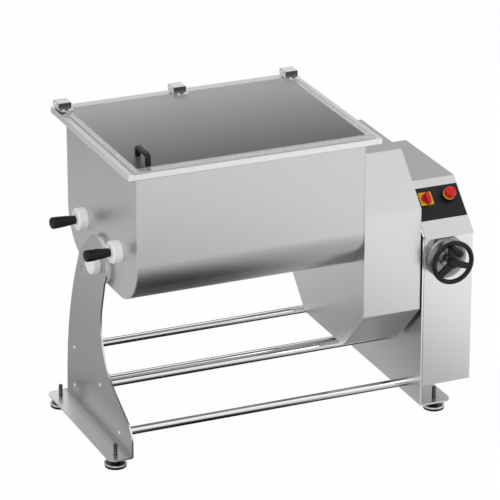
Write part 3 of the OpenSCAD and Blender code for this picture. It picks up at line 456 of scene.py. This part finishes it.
def cad_copy(node):
    """A merged copy of a CAD node's mesh with its flat faces made whole."""
    bm = bmesh.new()
    bm.from_mesh(NODES[node].data)
    bmesh.ops.remove_doubles(bm, verts=bm.verts, dist=2 * MERGED)
    bmesh.ops.dissolve_limit(bm, angle_limit=math.radians(0.5), verts=bm.verts, edges=bm.edges)
    return bm


def islands(bm):
    """The separate solids of a bmesh, as lists of vertices."""
    left = set(bm.verts)
    found = []
    while left:
        stack = [left.pop()]
        part = []
        while stack:
            vert = stack.pop()
            part.append(vert)
            for edge in vert.link_edges:
                other = edge.other_vert(vert)
                if other in left:
                    left.remove(other)
                    stack.append(other)
        found.append(part)
    return found


def solid_centres(node, axes):
    """The middle of each of a CAD node's solids across two axes, such as "xy"."""
    bm = cad_copy(node)
    seen = []
    for part in islands(bm):
        spans = [[getattr(vert.co, axis) for vert in part] for axis in axes]
        seen.append(tuple((min(span) + max(span)) / 2 for span in spans))
    bm.free()
    return sorted(seen)


def new_object(name, data):
    """An object in the scene that shows its data."""
    obj = bpy.data.objects.new(name, data)
    bpy.context.collection.objects.link(obj)
    return obj


def made(name, bm, material, body, stands_for=(), sharp=38):
    """Turns a bmesh into a piece that rides on a body, and that stands for the CAD nodes it is given."""
    bmesh.ops.remove_doubles(bm, verts=bm.verts, dist=MERGED)
    bmesh.ops.recalc_face_normals(bm, faces=bm.faces)
    mesh = bpy.data.meshes.new(name)
    bm.to_mesh(mesh)
    bm.free()
    mesh.shade_smooth()
    mesh.set_sharp_from_angle(angle=math.radians(sharp))
    mesh.materials.append(material)
    piece = new_object(name, mesh)
    even = piece.modifiers.new("Even shading", "WEIGHTED_NORMAL")
    even.keep_sharp = True
    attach(piece, body)
    if stands_for:
        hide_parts(*stands_for)
    return piece


def dressed(node, material, body, width=0.8 * MM, segments=2, angle=30):
    """A CAD node's shape with its edges broken, in place of the node."""
    bm = cad_copy(node)
    soften(bm, width, segments, angle)
    return made(node + "_dressed", bm, material, body, (node,))


def refaced(piece, material, pick):
    """Gives the faces that pick chooses a material of their own."""
    number = len(piece.data.materials)
    piece.data.materials.append(material)
    for face in piece.data.polygons:
        if pick(face):
            face.material_index = number


def level(face):
    """Picks faces that lie level and look up."""
    return face.normal.z > 0.97


def hex_nut(bm, centre, across, height):
    """A hexagon nut with chamfered edges, standing on its centre."""
    corner = across / math.sqrt(3)
    start = len(bm.verts)
    bmesh.ops.create_cone(bm, cap_ends=True, segments=6, radius1=corner, radius2=corner, depth=height,
                          matrix=facing(Vector(centre) + Vector(UP) * height / 2, UP))
    bm.verts.ensure_lookup_table()
    fresh = set(bm.verts[start:])
    bevel(bm, [edge for edge in bm.edges if edge.verts[0] in fresh], across * 0.035, 2)


# Tank

def trough():
    """The tank's sheet: two upright sides, a lobe under each shaft and the ridge between them."""
    low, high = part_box("tank_trough")
    ridge_start = 45
    ridge_slope = math.radians(40)
    edge = LOBE * math.sin(math.radians(ridge_start))
    reach = REAR_SHAFT.y - MID_Y
    apex = FRONT_SHAFT.z - edge + (reach - edge) * math.tan(ridge_slope)
    path = [(low.y, high.z)]
    path += arc((FRONT_SHAFT.y, FRONT_SHAFT.z), LOBE, 180, 270 + ridge_start, 54)
    path += [(MID_Y, apex)]
    path += arc((REAR_SHAFT.y, REAR_SHAFT.z), LOBE, 270 - ridge_start, 360, 54)
    path += [(high.y, high.z)]
    bm = bmesh.new()
    verts = [bm.verts.new((low.x, y, z)) for y, z in path]
    edges = [bm.edges.new(pair) for pair in zip(verts, verts[1:])]
    grown = bmesh.ops.extrude_edge_only(bm, edges=edges)["geom"]
    bmesh.ops.translate(bm, verts=new_verts(grown), vec=(high.x - low.x, 0, 0))
    bmesh.ops.recalc_face_normals(bm, faces=bm.faces)
    middle = Vector((MID_X, MID_Y, FRONT_SHAFT.z + LOBE))
    outward = sum((face.calc_center_median() - middle).dot(face.normal) * face.calc_area()
                  for face in bm.faces)
    if outward < 0:
        bmesh.ops.reverse_faces(bm, faces=bm.faces)
    bmesh.ops.solidify(bm, geom=bm.faces, thickness=TANK_SHEET)
    made("trough_sheet", bm, SHEET, "tank", ("tank_trough",))


def end_wall(side):
    """One end of the tank, with the weld bead along its inner edge."""
    node = "tank_end_" + side
    dressed(node, ENDS, "tank", 0.9 * MM, 3, 30)
    low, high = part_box(node)
    bead_r = 0.8 * MM
    shortest = 1e-5
    lobe = FRONT_SHAFT.z - low.z
    inner_x = high.x if side == "left" else low.x
    path = [(low.y, high.z)] + arc((FRONT_SHAFT.y, FRONT_SHAFT.z), lobe, 180, 270, 30)
    path += arc((REAR_SHAFT.y, REAR_SHAFT.z), lobe, 270, 360, 30) + [(high.y, high.z)]
    bm = bmesh.new()
    for (y0, z0), (y1, z1) in zip(path, path[1:]):
        start = Vector((inner_x, y0, z0))
        end = Vector((inner_x, y1, z1))
        run = end - start
        if run.length > shortest:
            bmesh.ops.create_cone(bm, cap_ends=False, segments=8, radius1=bead_r, radius2=bead_r,
                                  depth=run.length, matrix=facing((start + end) / 2, run))
    made("weld_" + side, bm, SHEET, "tank")


def rim():
    """The tank's folded rim: a flat collar round the opening, turned down and then in."""
    low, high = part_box("tank_rim")
    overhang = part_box("tank_trough")[0].y - low.y + TANK_SHEET
    turned_in = 10 * MM
    bend = 2.2 * MM
    touching = 1e-5
    centre = (low + high) / 2
    spread = Matrix.Diagonal((high.x - low.x, high.y - low.y, 1, 1))
    bm = bmesh.new()
    bmesh.ops.create_grid(bm, x_segments=1, y_segments=1, size=0.5,
                          matrix=Matrix.Translation((centre.x, centre.y, high.z)) @ spread)
    bm.normal_update()
    top = bm.faces[:]
    bmesh.ops.inset_region(bm, faces=top, thickness=overhang, use_boundary=True, use_even_offset=True)
    bmesh.ops.delete(bm, geom=top, context="FACES_ONLY")

    def outermost(vert):
        return min(abs(vert.co[axis] - end[axis]) for axis in (0, 1) for end in (low, high)) < touching

    outer = [edge for edge in bm.edges if len(edge.link_faces) == 1 and all(map(outermost, edge.verts))]
    grown = bmesh.ops.extrude_edge_only(bm, edges=outer)["geom"]
    verts = new_verts(grown)
    lip = [item for item in grown if isinstance(item, bmesh.types.BMEdge)
           and all(vert in verts for vert in item.verts)]
    bmesh.ops.translate(bm, verts=verts, vec=(0, 0, low.z - high.z))
    grown = bmesh.ops.extrude_edge_only(bm, edges=lip)["geom"]
    for vert in new_verts(grown):
        vert.co.x -= math.copysign(turned_in, vert.co.x - centre.x)
        vert.co.y -= math.copysign(turned_in, vert.co.y - centre.y)
    folds = [edge for edge in bm.edges if len(edge.link_faces) == 2 and edge.calc_face_angle(0) > 0.5]
    bevel(bm, folds, bend, 4)
    bmesh.ops.recalc_face_normals(bm, faces=bm.faces)
    upper = max(bm.faces, key=lambda face: face.calc_center_median().z)
    if upper.normal.z < 0:
        bmesh.ops.reverse_faces(bm, faces=bm.faces)
    bmesh.ops.solidify(bm, geom=bm.faces, thickness=TANK_SHEET)
    made("rim_fold", bm, RIM, "tank", ("tank_rim",))


# Lid and its fittings

def lid():
    """The lid sheet with its painted reflection, its underside raised a little clear of the rim, and its
    handle.
    """
    lifted = 0.3 * MM
    touching = 1e-5
    bm = cad_copy("lid")
    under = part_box("lid")[0].z
    for vert in bm.verts:
        if vert.co.z < under + touching:
            vert.co.z += lifted
    soften(bm, 1.2 * MM, 3, 30)
    sheet = made("lid_sheet", bm, LID, "lid", ("lid",))
    refaced(sheet, LID_EDGE, lambda face: abs(face.normal.z) < 0.95)
    dressed("lid_handle", BLACK, "lid", 3 * MM, 4, 40)


def hinges():
    """The three hinges, with painted shade on the faces of their webs that look forward."""
    leaves = dressed("hinge_leaves", BRACKET, "lid", 0.7 * MM, 2, 30)
    brackets = dressed("hinge_brackets", BRACKET, "tank", 0.7 * MM, 2, 40)
    web_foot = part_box("lid")[1].z + 4 * MM
    web_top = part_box("hinge_leaves")[1].z - 2.5 * MM
    for piece in (leaves, brackets):
        # Painted shade on the webs' forward faces, under the leaves.
        refaced(piece, SHADED, lambda face: face.normal.y < -0.3 and web_foot < face.center.z < web_top)
    dressed("hinge_screws", BRIGHT, "lid", 0.6 * MM, 2, 30)


def finish_cad():
    """Finishes for the nodes whose shape stays as it is."""
    finishes = {
        BRONZE: ("worm_wheel", "pivot_bushes"),
        GEAR: ("worm", "gear_front", "gear_rear", "idler_front", "idler_rear"),
        IRON: ("shaft_bearings", "worm_bracket", "gearmotor"),
        TURNED_IN_PAINTED_SHADE: ("wheel_shaft", "pivot_pin", "tilt_trunnion", "release_pin_front", "release_pin_rear"),
        BRIGHT: ("grip_pin", "hinge_pins"),
        WHITE: ("shaft_bushes",),
        BLACK: ("switch_body",),
    }
    for material, nodes in finishes.items():
        for node in nodes:
            for holder in NODES[node].material_slots:
                holder.material = material


# Left end

def shaft_caps():
    """White rings on the tank's left end, round the two release pins."""
    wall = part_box("tank_end_left")[0].x
    low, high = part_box("shaft_caps")
    length = wall - low.x
    radius = high.z - FRONT_SHAFT.z
    bore = 10.05 * MM
    profile = rounded([(bore, 0), (radius, 0), (radius, length), (bore, length)], [0.6 * MM, 6 * MM], 6)
    bm = bmesh.new()
    for shaft in (FRONT_SHAFT, REAR_SHAFT):
        lathe(bm, closed(profile), (wall, shaft.y, shaft.z), LEFT, 96)
    made("shaft_cap_rings", bm, WHITE, "tank", ("shaft_caps",))


def pivot_covers():
    """The white cap outside the left leg, hollow over the pivot pin, and the white disc inside the leg."""
    low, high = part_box("pivot_cap")
    depth = high.x - low.x
    radius = high.z - TILT.z
    hollow_r = 28 * MM
    hollow = depth * 0.7
    profile = rounded([(0, depth), (radius, depth), (radius, 0), (hollow_r, 0), (hollow_r, hollow),
                       (0, hollow)], [7 * MM, 0.6 * MM, 0.6 * MM, 1 * MM], 6)
    bm = bmesh.new()
    lathe(bm, profile, (high.x, TILT.y, TILT.z), LEFT, 96)
    made("pivot_cap_cover", bm, WHITE, "base", ("pivot_cap",))
    dressed("pivot_spacer", WHITE, "tank", 1.2 * MM, 2, 40)


def pin_handles():
    """Black pull handles of the release pins, flared from the neck and domed at the end."""
    neck_r = 13.5 * MM
    chamfer = 1 * MM
    for side, shaft in (("front", FRONT_SHAFT), ("rear", REAR_SHAFT)):
        node = "pin_handle_" + side
        low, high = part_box(node)
        reach = high.x - low.x
        end_r = (high.z - low.z) / 2
        profile = [(0, 0), (neck_r - chamfer, 0), (neck_r, chamfer)]
        profile += [(neck_r + (end_r - neck_r) * (1 - (1 - part) ** 1.6), reach * (0.02 + 0.86 * part))
                    for part in fractions(14)]
        belly = profile[-1][1]
        profile += dome(end_r, belly, reach - belly)
        bm = bmesh.new()
        lathe(bm, profile, (high.x, shaft.y, shaft.z), LEFT, 64)
        made(node + "_grip", bm, BLACK, side + "_pin", (node,))


# Stand

def legs():
    """The two leg plates, with a painted highlight on the cut edge above the foot flange."""
    for node, finish in (("left_leg", LEFT_PLATE), ("right_leg", PLATE)):
        bm = cad_copy(node)
        bmesh.ops.recalc_face_normals(bm, faces=bm.faces)
        soften(bm, 0.8 * MM, 2, 35, lambda edge: edge.is_convex)
        plate = made(node + "_dressed", bm, finish, "base", (node,))
        flange_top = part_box(node)[0].z + 12 * MM
        # Painted highlight on the plates' cut edges.
        refaced(plate, EDGE_HIGHLIGHT, lambda face: abs(face.normal.x) < 0.8 and face.center.z > flange_top)


def rods(places):
    """Four round bars between the legs, with a spigot through each leg."""
    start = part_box("left_leg")[1].x
    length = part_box("right_leg")[0].x - start
    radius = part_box("tie_rods")[1].z - max(z for y, z in places)
    spigot = 7.9 * MM
    edge = 1 * MM
    profile = [(0, -LEG_SHEET), (spigot, -LEG_SHEET), (spigot, 0), (radius - edge, 0), (radius, edge),
               (radius, length - edge), (radius - edge, length), (spigot, length),
               (spigot, length + LEG_SHEET), (0, length + LEG_SHEET)]
    bm = bmesh.new()
    # Height over the axis, which places the bar's painted highlight and painted shade.
    lift = bm.verts.layers.float.new("lift")
    for y, z in places:
        before = set(bm.verts)
        lathe(bm, profile, (start, y, z), RIGHT, 64)
        for vert in bm.verts:
            if vert not in before:
                vert[lift] = (vert.co.z - z) / radius
    made("polished_rods", bm, BAR, "base", ("tie_rods",))


def rod_screws(places):
    """A low round screw head on the left leg at the end of each rod."""
    head_r = 7.5 * MM
    head = 4 * MM
    edge = 1 * MM
    profile = [(0, 0), (head_r, 0), (head_r, edge)] + dome(head_r, edge, head - edge)
    bm = bmesh.new()
    for y, z in places:
        lathe(bm, profile, (LEG_OUTSIDE, y, z), LEFT, 40)
    made("rod_screw_heads", bm, BRIGHT, "base", ("tie_rod_nuts",))


def thread(radius, length):
    """Profile of a threaded stud with a chamfered end."""
    pitch = 1.75 * MM
    depth = 0.25 * MM
    profile = [(0, 0)]
    for turn in range(int(length / pitch) - 1):
        profile += [(radius - depth, pitch * (turn + 0.1)), (radius, pitch * (turn + 0.5)),
                    (radius - depth, pitch * (turn + 0.9))]
    return profile + [(radius - 1.5 * MM, length), (0, length)]


def feet():
    """Levelling feet: rubber pad, polished disc with a painted dark reflection and a painted highlight on
    its hem, threaded stud with a painted dark reflection, and locknut.
    """
    disc_low, disc_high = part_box("foot_discs")
    stud_low, stud_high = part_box("foot_studs")
    nut_low, nut_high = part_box("foot_locknuts")
    pad_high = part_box("foot_pads")[1].z
    stud_r = 6.5 * MM
    disc_r = 36 * MM
    pad_r = disc_r - 1.5 * MM
    height = disc_high.z - disc_low.z
    pad = rounded([(0, 0), (pad_r, 0), (pad_r, pad_high), (0, pad_high)], [1.5 * MM, 0.8 * MM], 3)
    disc = rounded([(0, 0), (disc_r - 0.5 * MM, 0), (disc_r - 0.5 * MM, 1.6 * MM),
                    (disc_r - 3 * MM, 1.8 * MM), (disc_r - 3 * MM, 5.2 * MM), (14 * MM, 12 * MM),
                    (13 * MM, height), (stud_r, height)],
                   [0.5 * MM, 0.5 * MM, 0.3 * MM, 0.5 * MM, 2 * MM, 1.5 * MM], 3)
    hem = rounded([(disc_r - 3.5 * MM, 1.5 * MM), (disc_r, 1.5 * MM), (disc_r, 5.6 * MM),
                   (disc_r - 5 * MM, 5.9 * MM), (disc_r - 5 * MM, 3 * MM), (disc_r - 3.5 * MM, 3 * MM)],
                  [0.8 * MM, 1.6 * MM, 0.3 * MM, 0.3 * MM], 5)
    stud = thread(stud_r, stud_high.z - stud_low.z)
    pads, discs, hems, studs, nuts = (bmesh.new() for _ in range(5))
    for x, y in solid_centres("foot_studs", "xy"):
        lathe(pads, pad, (x, y, 0), UP, 64)
        lathe(discs, disc, (x, y, disc_low.z), UP, 72)
        lathe(hems, closed(hem), (x, y, disc_low.z), UP, 72)
        lathe(studs, stud, (x, y, stud_low.z), UP, 28)
        hex_nut(nuts, (x, y, nut_low.z), 22 * MM, nut_high.z - nut_low.z)
    made("foot_rubbers", pads, RUBBER, "base", ("foot_pads",))
    made("foot_plates", discs, FOOT_PAINTED_DARK, "base", ("foot_discs",))
    made("foot_plate_hems", hems, HEM_PAINTED_HIGHLIGHT, "base")
    made("threaded_studs", studs, STUD_PAINTED_DARK, "base", ("foot_studs",), 50)
    made("locknuts", nuts, BRIGHT, "base", ("foot_locknuts",))


def stand():
    """Everything under the tank and the column."""
    rod_places = solid_centres("tie_rods", "yz")
    legs()
    rods(rod_places)
    rod_screws(rod_places)
    feet()


# Gear housing and column

def long_fold(edge):
    """Picks the housing's bends, which run along X."""
    run = (edge.verts[1].co - edge.verts[0].co).normalized()
    return abs(run.x) > 0.99 and edge.calc_length() > 0.1


def housing():
    """The gear housing's folded sheet with its end cover, with painted shade on its level tops and lower
    slope and painted light on its left side.
    """
    bm = cad_copy("gear_housing")
    soften(bm, 3.0 * MM, 4, 20, long_fold)
    sheet = made("housing_sheet", bm, SHEET_UP, "tank", ("gear_housing",))
    cover = dressed("housing_cover", SHEET_UP, "tank", 0.8 * MM, 2, 20)
    # Painted shade on level faces and the lower slope, painted light on the left side.
    for piece in (sheet, cover):
        refaced(piece, LEVEL_PAINTED_SHADE, level)
    refaced(sheet, SLOPE_PAINTED_SHADE, lambda face: face.normal.z < -0.3 and face.normal.y < -0.3)
    refaced(sheet, SIDE_PAINTED_LIGHT, lambda face: face.normal.x < -0.8)
    dressed("housing_screws", BRIGHT, "tank", 0.8 * MM, 2, 30)


def agitators():
    """The two shafts with their paddles."""
    for side in ("front", "rear"):
        dressed("agitator_" + side, PADDLE, side + "_shaft", 0.8 * MM, 2, 35)


def column():
    """The column's walls, the sheet over its top and panel, and the rear cover."""
    bm = cad_copy("column_shell")
    soften(bm, 2.0 * MM, 3, 30, lambda edge: edge.calc_length() > 0.08)
    made("column_walls", bm, COLUMN, "base", ("column_shell",))
    bm = cad_copy("column_hood")
    soften(bm, 0.7 * MM, 2, 60)
    top = made("column_top_sheet", bm, SHEET_UP, "base", ("column_hood",), 12)
    # Painted shade on the top sheet's level faces.
    refaced(top, LEVEL_PAINTED_SHADE, level)
    dressed("column_cover", SHEET_UP, "base", 0.5 * MM, 2, 30)
    dressed("column_screws", BRIGHT, "base", 0.6 * MM, 2, 30)


# Controls

def panel_matrix(node, height):
    """Puts local x along X, y up the slope and z out of the panel, for a node centred height above it."""
    low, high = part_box(node)
    place = (low + high) / 2 - PANEL_NORMAL * height
    right = Vector(RIGHT)
    turn = Matrix((right, PANEL_NORMAL.cross(right).normalized(), PANEL_NORMAL)).transposed().to_4x4()
    return Matrix.Translation(place) @ turn


def controls():
    """The bare panel foil, the main switch and the emergency stop."""
    dressed("panel_label", FOIL, "base", 0.25 * MM, 2, 30)
    dressed("switch_plate", YELLOW, "base", 0.4 * MM, 2, 30)
    dressed("switch_knob", RED, "switch_knob", 1.2 * MM, 3, 35)
    estop()
    marks()


def estop():
    """The emergency stop: black collar through the panel, yellow ring and red mushroom head."""
    collar_foot = 0.8 * MM
    collar_top = 14.8 * MM
    ring_top = 17.8 * MM
    out = panel_matrix("estop_ring", (collar_top + ring_top) / 2)
    collar_r = 23 * MM
    bore = 9.05 * MM
    gland_r = 10.9 * MM
    gland_end = -14 * MM
    head_r = 20 * MM
    stem_r = 9 * MM
    stem_end = 7.7 * MM
    under_head = 24.1 * MM
    crown = under_head + 16 * MM
    turned = [(0, 0, 0), UP]

    bm = bmesh.new()
    collar = rounded([(bore, collar_foot), (collar_r, collar_foot), (collar_r, 6 * MM),
                      (collar_r - 1.5 * MM, collar_top), (bore, collar_top)],
                     [0.4 * MM, 1 * MM, 1.2 * MM], 4)
    lathe(bm, closed(collar), *turned, 72)
    gland_top = collar_foot + 0.1 * MM
    plug_top = 1.5 * MM
    lathe(bm, [(0, gland_end), (gland_r, gland_end), (gland_r, gland_top), (bore, gland_top),
               (bore, plug_top), (0, plug_top)], *turned, 48)
    hex_nut(bm, (0, 0, -10 * MM), 31 * MM, 8 * MM)
    bmesh.ops.transform(bm, matrix=out, verts=bm.verts)
    made("estop_collar", bm, ESTOP_BLACK, "base", ("estop_base",))

    bm = bmesh.new()
    ring = rounded([(bore, collar_top), (head_r, collar_top), (head_r, ring_top), (bore, ring_top)],
                   0.6 * MM, 3)
    lathe(bm, closed(ring), *turned, 72)
    bmesh.ops.transform(bm, matrix=out, verts=bm.verts)
    made("estop_yellow_ring", bm, YELLOW, "base", ("estop_ring",))

    bm = bmesh.new()
    head = rounded([(0, stem_end), (stem_r, stem_end), (stem_r, under_head), (head_r, under_head),
                    (head_r, under_head + 6 * MM), (head_r - 3.5 * MM, crown - 1.6 * MM), (6 * MM, crown),
                    (0, crown)], [0.4 * MM, 0.15 * MM, 2 * MM, 3 * MM, 3 * MM, 8 * MM], 5)
    lathe(bm, head, *turned, 144)
    scallop(bm, head_r)
    bmesh.ops.transform(bm, matrix=out, verts=bm.verts)
    made("estop_mushroom", bm, RED, "estop_button", ("estop_button",), 50)


def scallop(bm, radius):
    """Twelve shallow finger hollows round a head's edge, on the local z axis."""
    hollows = 12
    start = radius - 6 * MM
    depth = 0.018
    for vert in bm.verts:
        far = math.hypot(vert.co.x, vert.co.y)
        if far > start:
            swing = 1 - math.cos(hollows * math.atan2(vert.co.y, vert.co.x))
            wave = 1 - depth * (far - start) / (radius - start) * swing
            vert.co.x *= wave
            vert.co.y *= wave


def marks():
    """Plain 0 and 1 marks on the switch plate."""
    plate = 1.5 * MM
    plate_foot = 0.8 * MM
    height = plate_foot + plate + 0.06 * MM
    for sign, across in (("0", -17 * MM), ("1", 17 * MM)):
        curve = bpy.data.curves.new("mark_" + sign, "FONT")
        curve.body = sign
        curve.size = 8 * MM
        curve.extrude = 0.05 * MM
        curve.align_x = "CENTER"
        curve.align_y = "CENTER"
        text = new_object("mark_text_" + sign, curve)
        mesh = bpy.data.meshes.new_from_object(text.evaluated_get(bpy.context.evaluated_depsgraph_get()))
        bpy.data.objects.remove(text)
        bm = bmesh.new()
        bm.from_mesh(mesh)
        out = panel_matrix("switch_plate", plate_foot + plate / 2)
        bmesh.ops.transform(bm, matrix=out @ Matrix.Translation((across, 16 * MM, height)), verts=bm.verts)
        made("switch_mark_" + sign, bm, INK, "base")


# Handwheel

def wheel():
    """The handwheel: round rim, hub, three spokes and the boss that carries the grip."""
    low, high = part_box("handwheel")
    tube = 8 * MM
    ring = (high.x - low.x) / 2 - tube
    hub_r = 17 * MM
    flattened = 0.95
    section = []
    for step in range(25):
        turn = TURN * step / 24
        wide = tube if math.cos(turn) > 0 else tube * flattened
        section.append((ring + wide * math.cos(turn), tube * flattened * math.sin(turn)))
    bm = bmesh.new()
    lathe(bm, section, WHEEL, FRONT, 128)
    hub = rounded([(0, 13 * MM), (11 * MM, 13 * MM), (12 * MM, 11.5 * MM), (hub_r, 11 * MM), (hub_r, 0),
                   (hub_r - 2 * MM, -16 * MM), (8.05 * MM, -16 * MM)],
                  [0.6 * MM, 0.4 * MM, 2.5 * MM, 3 * MM, 1 * MM], 4)
    lathe(bm, hub, WHEEL, FRONT, 72)
    first = math.degrees(math.atan2(GRIP.z - WHEEL.z, GRIP.x - WHEEL.x))
    for number in range(3):
        spoke(bm, math.radians(first + 120 * number), hub_r * 0.7, ring - tube * 0.3)
    boss_r = 11 * MM
    boss = rounded([(4.05 * MM, 12 * MM), (boss_r, 12 * MM), (boss_r, -9 * MM), (0, -9 * MM)], 1.5 * MM, 4)
    lathe(bm, boss, (GRIP.x, WHEEL.y, GRIP.z), FRONT, 48)
    made("handwheel_casting", bm, BLACK, "handwheel", ("handwheel",), 45)


def spoke(bm, turn, inner, outer):
    """One flat spoke, wider at the hub, with rounded edges."""
    start = len(bm.verts)
    hub_half = 12 * MM
    rim_half = 9.5 * MM
    thick = 5.5 * MM
    out = Vector((math.cos(turn), 0, math.sin(turn)))
    across = Vector((-math.sin(turn), 0, math.cos(turn)))
    face = bm.faces.new([bm.verts.new(WHEEL + Vector((0, thick, 0)) + out * reach + across * half)
                         for reach, half in ((inner, -hub_half), (outer, -rim_half), (outer, rim_half),
                                             (inner, hub_half))])
    grown = bmesh.ops.extrude_face_region(bm, geom=[face])["geom"]
    bmesh.ops.translate(bm, verts=new_verts(grown), vec=(0, -2 * thick, 0))
    bm.verts.ensure_lookup_table()
    fresh = set(bm.verts[start:])
    edges = [edge for edge in bm.edges if edge.verts[0] in fresh and edge.verts[1] in fresh
             and abs((edge.verts[1].co - edge.verts[0].co).normalized().dot(out)) > 0.9]
    bevel(bm, edges, 3.6 * MM, 4)


def grip():
    """The revolving grip, swelling from its foot to a domed end."""
    low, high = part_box("wheel_grip")
    reach = high.y - low.y
    belly = (high.x - low.x) / 2
    foot_r = 9 * MM
    chamfer = 1 * MM
    profile = [(4.05 * MM, 0), (foot_r - chamfer, 0), (foot_r, chamfer)]
    for part in fractions(12):
        swell = math.sin(math.pi * 0.5 * part ** 1.2)
        profile.append((foot_r + (belly - foot_r) * swell, reach * (0.03 + 0.75 * part)))
    shoulder = profile[-1][1]
    profile += dome(belly, shoulder, reach - shoulder)
    bm = bmesh.new()
    lathe(bm, profile, (GRIP.x, high.y, GRIP.z), FRONT, 56)
    made("revolving_grip", bm, BLACK, "wheel_grip", ("wheel_grip",))


def flange():
    """The bearing flange, with the flat that clears the lip above it."""
    low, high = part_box("wheel_flange")
    radius = (high.x - low.x) / 2
    bore = 8.05 * MM
    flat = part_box("column_hood")[0].z - 0.3 * MM
    step_depth = 22 * MM
    depth = 30 * MM
    neck_r = 27 * MM
    profile = rounded([(bore, 0), (radius, 0), (radius, step_depth - 4 * MM),
                       (radius - 5 * MM, step_depth), (neck_r, step_depth), (neck_r - 1 * MM, depth),
                       (bore, depth)], [0.4 * MM, 3 * MM, 3 * MM, 2 * MM, 2 * MM], 5)
    bm = bmesh.new()
    lathe(bm, closed(profile), (WHEEL.x, high.y, WHEEL.z), FRONT, 128)
    parts = bm.verts[:] + bm.edges[:] + bm.faces[:]
    cut = bmesh.ops.bisect_plane(bm, geom=parts, plane_co=(0, 0, flat), plane_no=UP, clear_outer=True)
    open_edges = [item for item in cut["geom_cut"] if isinstance(item, bmesh.types.BMEdge)]
    bmesh.ops.holes_fill(bm, edges=open_edges, sides=0)
    # The flange's turned steel carries painted shade.
    made("bearing_flange", bm, TURNED_IN_PAINTED_SHADE, "base", ("wheel_flange",))


# Studio

def studio():
    """Pale floor, white surroundings and three soft lamps."""
    bm = bmesh.new()
    bmesh.ops.create_grid(bm, x_segments=1, y_segments=1, size=12)
    mesh = bpy.data.meshes.new("floor")
    bm.to_mesh(mesh)
    bm.free()
    mesh.materials.append(floor_finish())
    new_object("floor", mesh)
    world()
    lamp("key", (-2.6, -3.4, 4.2), 3.0, 45)
    lamp("fill", (3.6, -3.0, 2.6), 3.0, 20)
    lamp("top", (0.2, 0.8, 4.5), 3.2, 15)


def floor_finish():
    """White to the camera, with a faint shadow.

    Metal and every other ray but the camera's see it glow with painted light: bright in front, a painted
    shadow under the machine and painted shade behind.
    """
    finish = Finish("Pale floor", Roughness=0.9, Base_Color=(0.9, 0.9, 0.9, 1))
    painted_shadow_centre = (-0.2, -0.18, 0.0)
    full_reach = 3.2
    where = finish.place()
    away = finish.vector_maths("MULTIPLY", finish.vector_maths("SUBTRACT", where, painted_shadow_centre), (1.95, 1, 0))
    reach = finish.vector_maths("LENGTH", away, output="Value") * (1 / full_reach)
    spots = [(0.15, 0.03), (0.35, 0.06), (0.55, 0.11), (0.9, 0.36), (1.2, 0.52), (1.7, 0.56), (2.05, 0.72),
             (2.2, 0.80), (2.6, 0.97), (3.0, 1.0)]
    near = finish.levels(reach, [(place / full_reach, tone) for place, tone in spots])
    depth = finish.part(where, "Y") * 0.25
    rear = finish.levels(depth, [(0.15, 1.0), (0.28, 0.85), (0.43, 0.66), (0.65, 0.6), (1.0, 0.25)])
    white = finish.node("ShaderNodeEmission", {}, {"Strength": 1.0})
    # Painted shadow under the machine and painted shade behind it, glowing to every ray but the camera's.
    metal = finish.product(near, rear)
    painted_glow = finish.node("ShaderNodeEmission", {}, {"Color": metal, "Strength": 1.0})
    painted = Value(finish, finish.surface.outputs[0])
    shown = finish.node("ShaderNodeMixShader", {}, {0: 0.98, 1: painted, 2: white})
    seen = finish.node("ShaderNodeLightPath", output="Is Camera Ray")
    finish.plug(finish.node("ShaderNodeMixShader", {}, {0: seen, 1: painted_glow, 2: shown}),
                finish.output.inputs["Surface"])
    return finish.material


def world():
    """White to the camera. Metal sees bright walls, dark below the horizon and straight overhead."""
    sky = bpy.data.worlds.new("Studio")
    bpy.context.scene.world = sky
    sky.use_nodes = True
    nodes = Nodes(sky.node_tree)
    where = nodes.place("Generated")
    height = nodes.part(where, "Z") * 0.5 + 0.5
    bands = nodes.levels(height, [(0.0, 0.3), (0.50, 0.2), (0.52, 0.7), (0.56, 0.75), (0.75, 0.75),
                                  (0.85, 0.92), (0.94, 0.92), (0.98, 0.3), (1.0, 0.2)])
    walls = nodes.levels(nodes.part(where, "Y") * -0.5 + 0.5, [(0.1, 0.9), (0.9, 1.0)])
    seen = nodes.node("ShaderNodeLightPath", output="Is Camera Ray")
    colour = nodes.blend(seen, nodes.product(bands, walls), (1, 1, 1))
    shown = nodes.node("ShaderNodeBackground", {}, {"Color": colour, "Strength": 1.0})
    nodes.plug(shown, nodes.tree.nodes.new("ShaderNodeOutputWorld").inputs["Surface"])


def lamp(name, place, size, power):
    """A square soft lamp that looks at the tank."""
    light = bpy.data.lights.new(name, "AREA")
    light.size = size
    light.energy = power
    new_object(name, light).matrix_world = facing(place, Vector((0, 0, 0.6)) - Vector(place), "-Z")


def camera():
    """The photograph's view: azimuth and height above the horizon in degrees, fitted to its edges."""
    azimuth = math.radians(-23.29)
    elevation = math.radians(21.97)
    distance = 10.785
    aim = Vector((MID_X + 0.1209, MID_Y, 0.5454))
    back = Vector((math.sin(azimuth) * math.cos(elevation), -math.cos(azimuth) * math.cos(elevation),
                   math.sin(elevation)))
    data = bpy.data.cameras.new("Photo view")
    data.lens = 243.9
    data.sensor_width = 36
    data.clip_end = 100
    view = new_object("Photo view", data)
    view.matrix_world = facing(aim + back * distance, back)
    bpy.context.scene.camera = view


camera()
studio()
trough()
end_wall("left")
end_wall("right")
rim()
lid()
hinges()
shaft_caps()
pivot_covers()
pin_handles()
stand()
housing()
agitators()
column()
controls()
wheel()
grip()
flange()
finish_cad()

bpy.context.scene.view_settings.view_transform = "Standard"
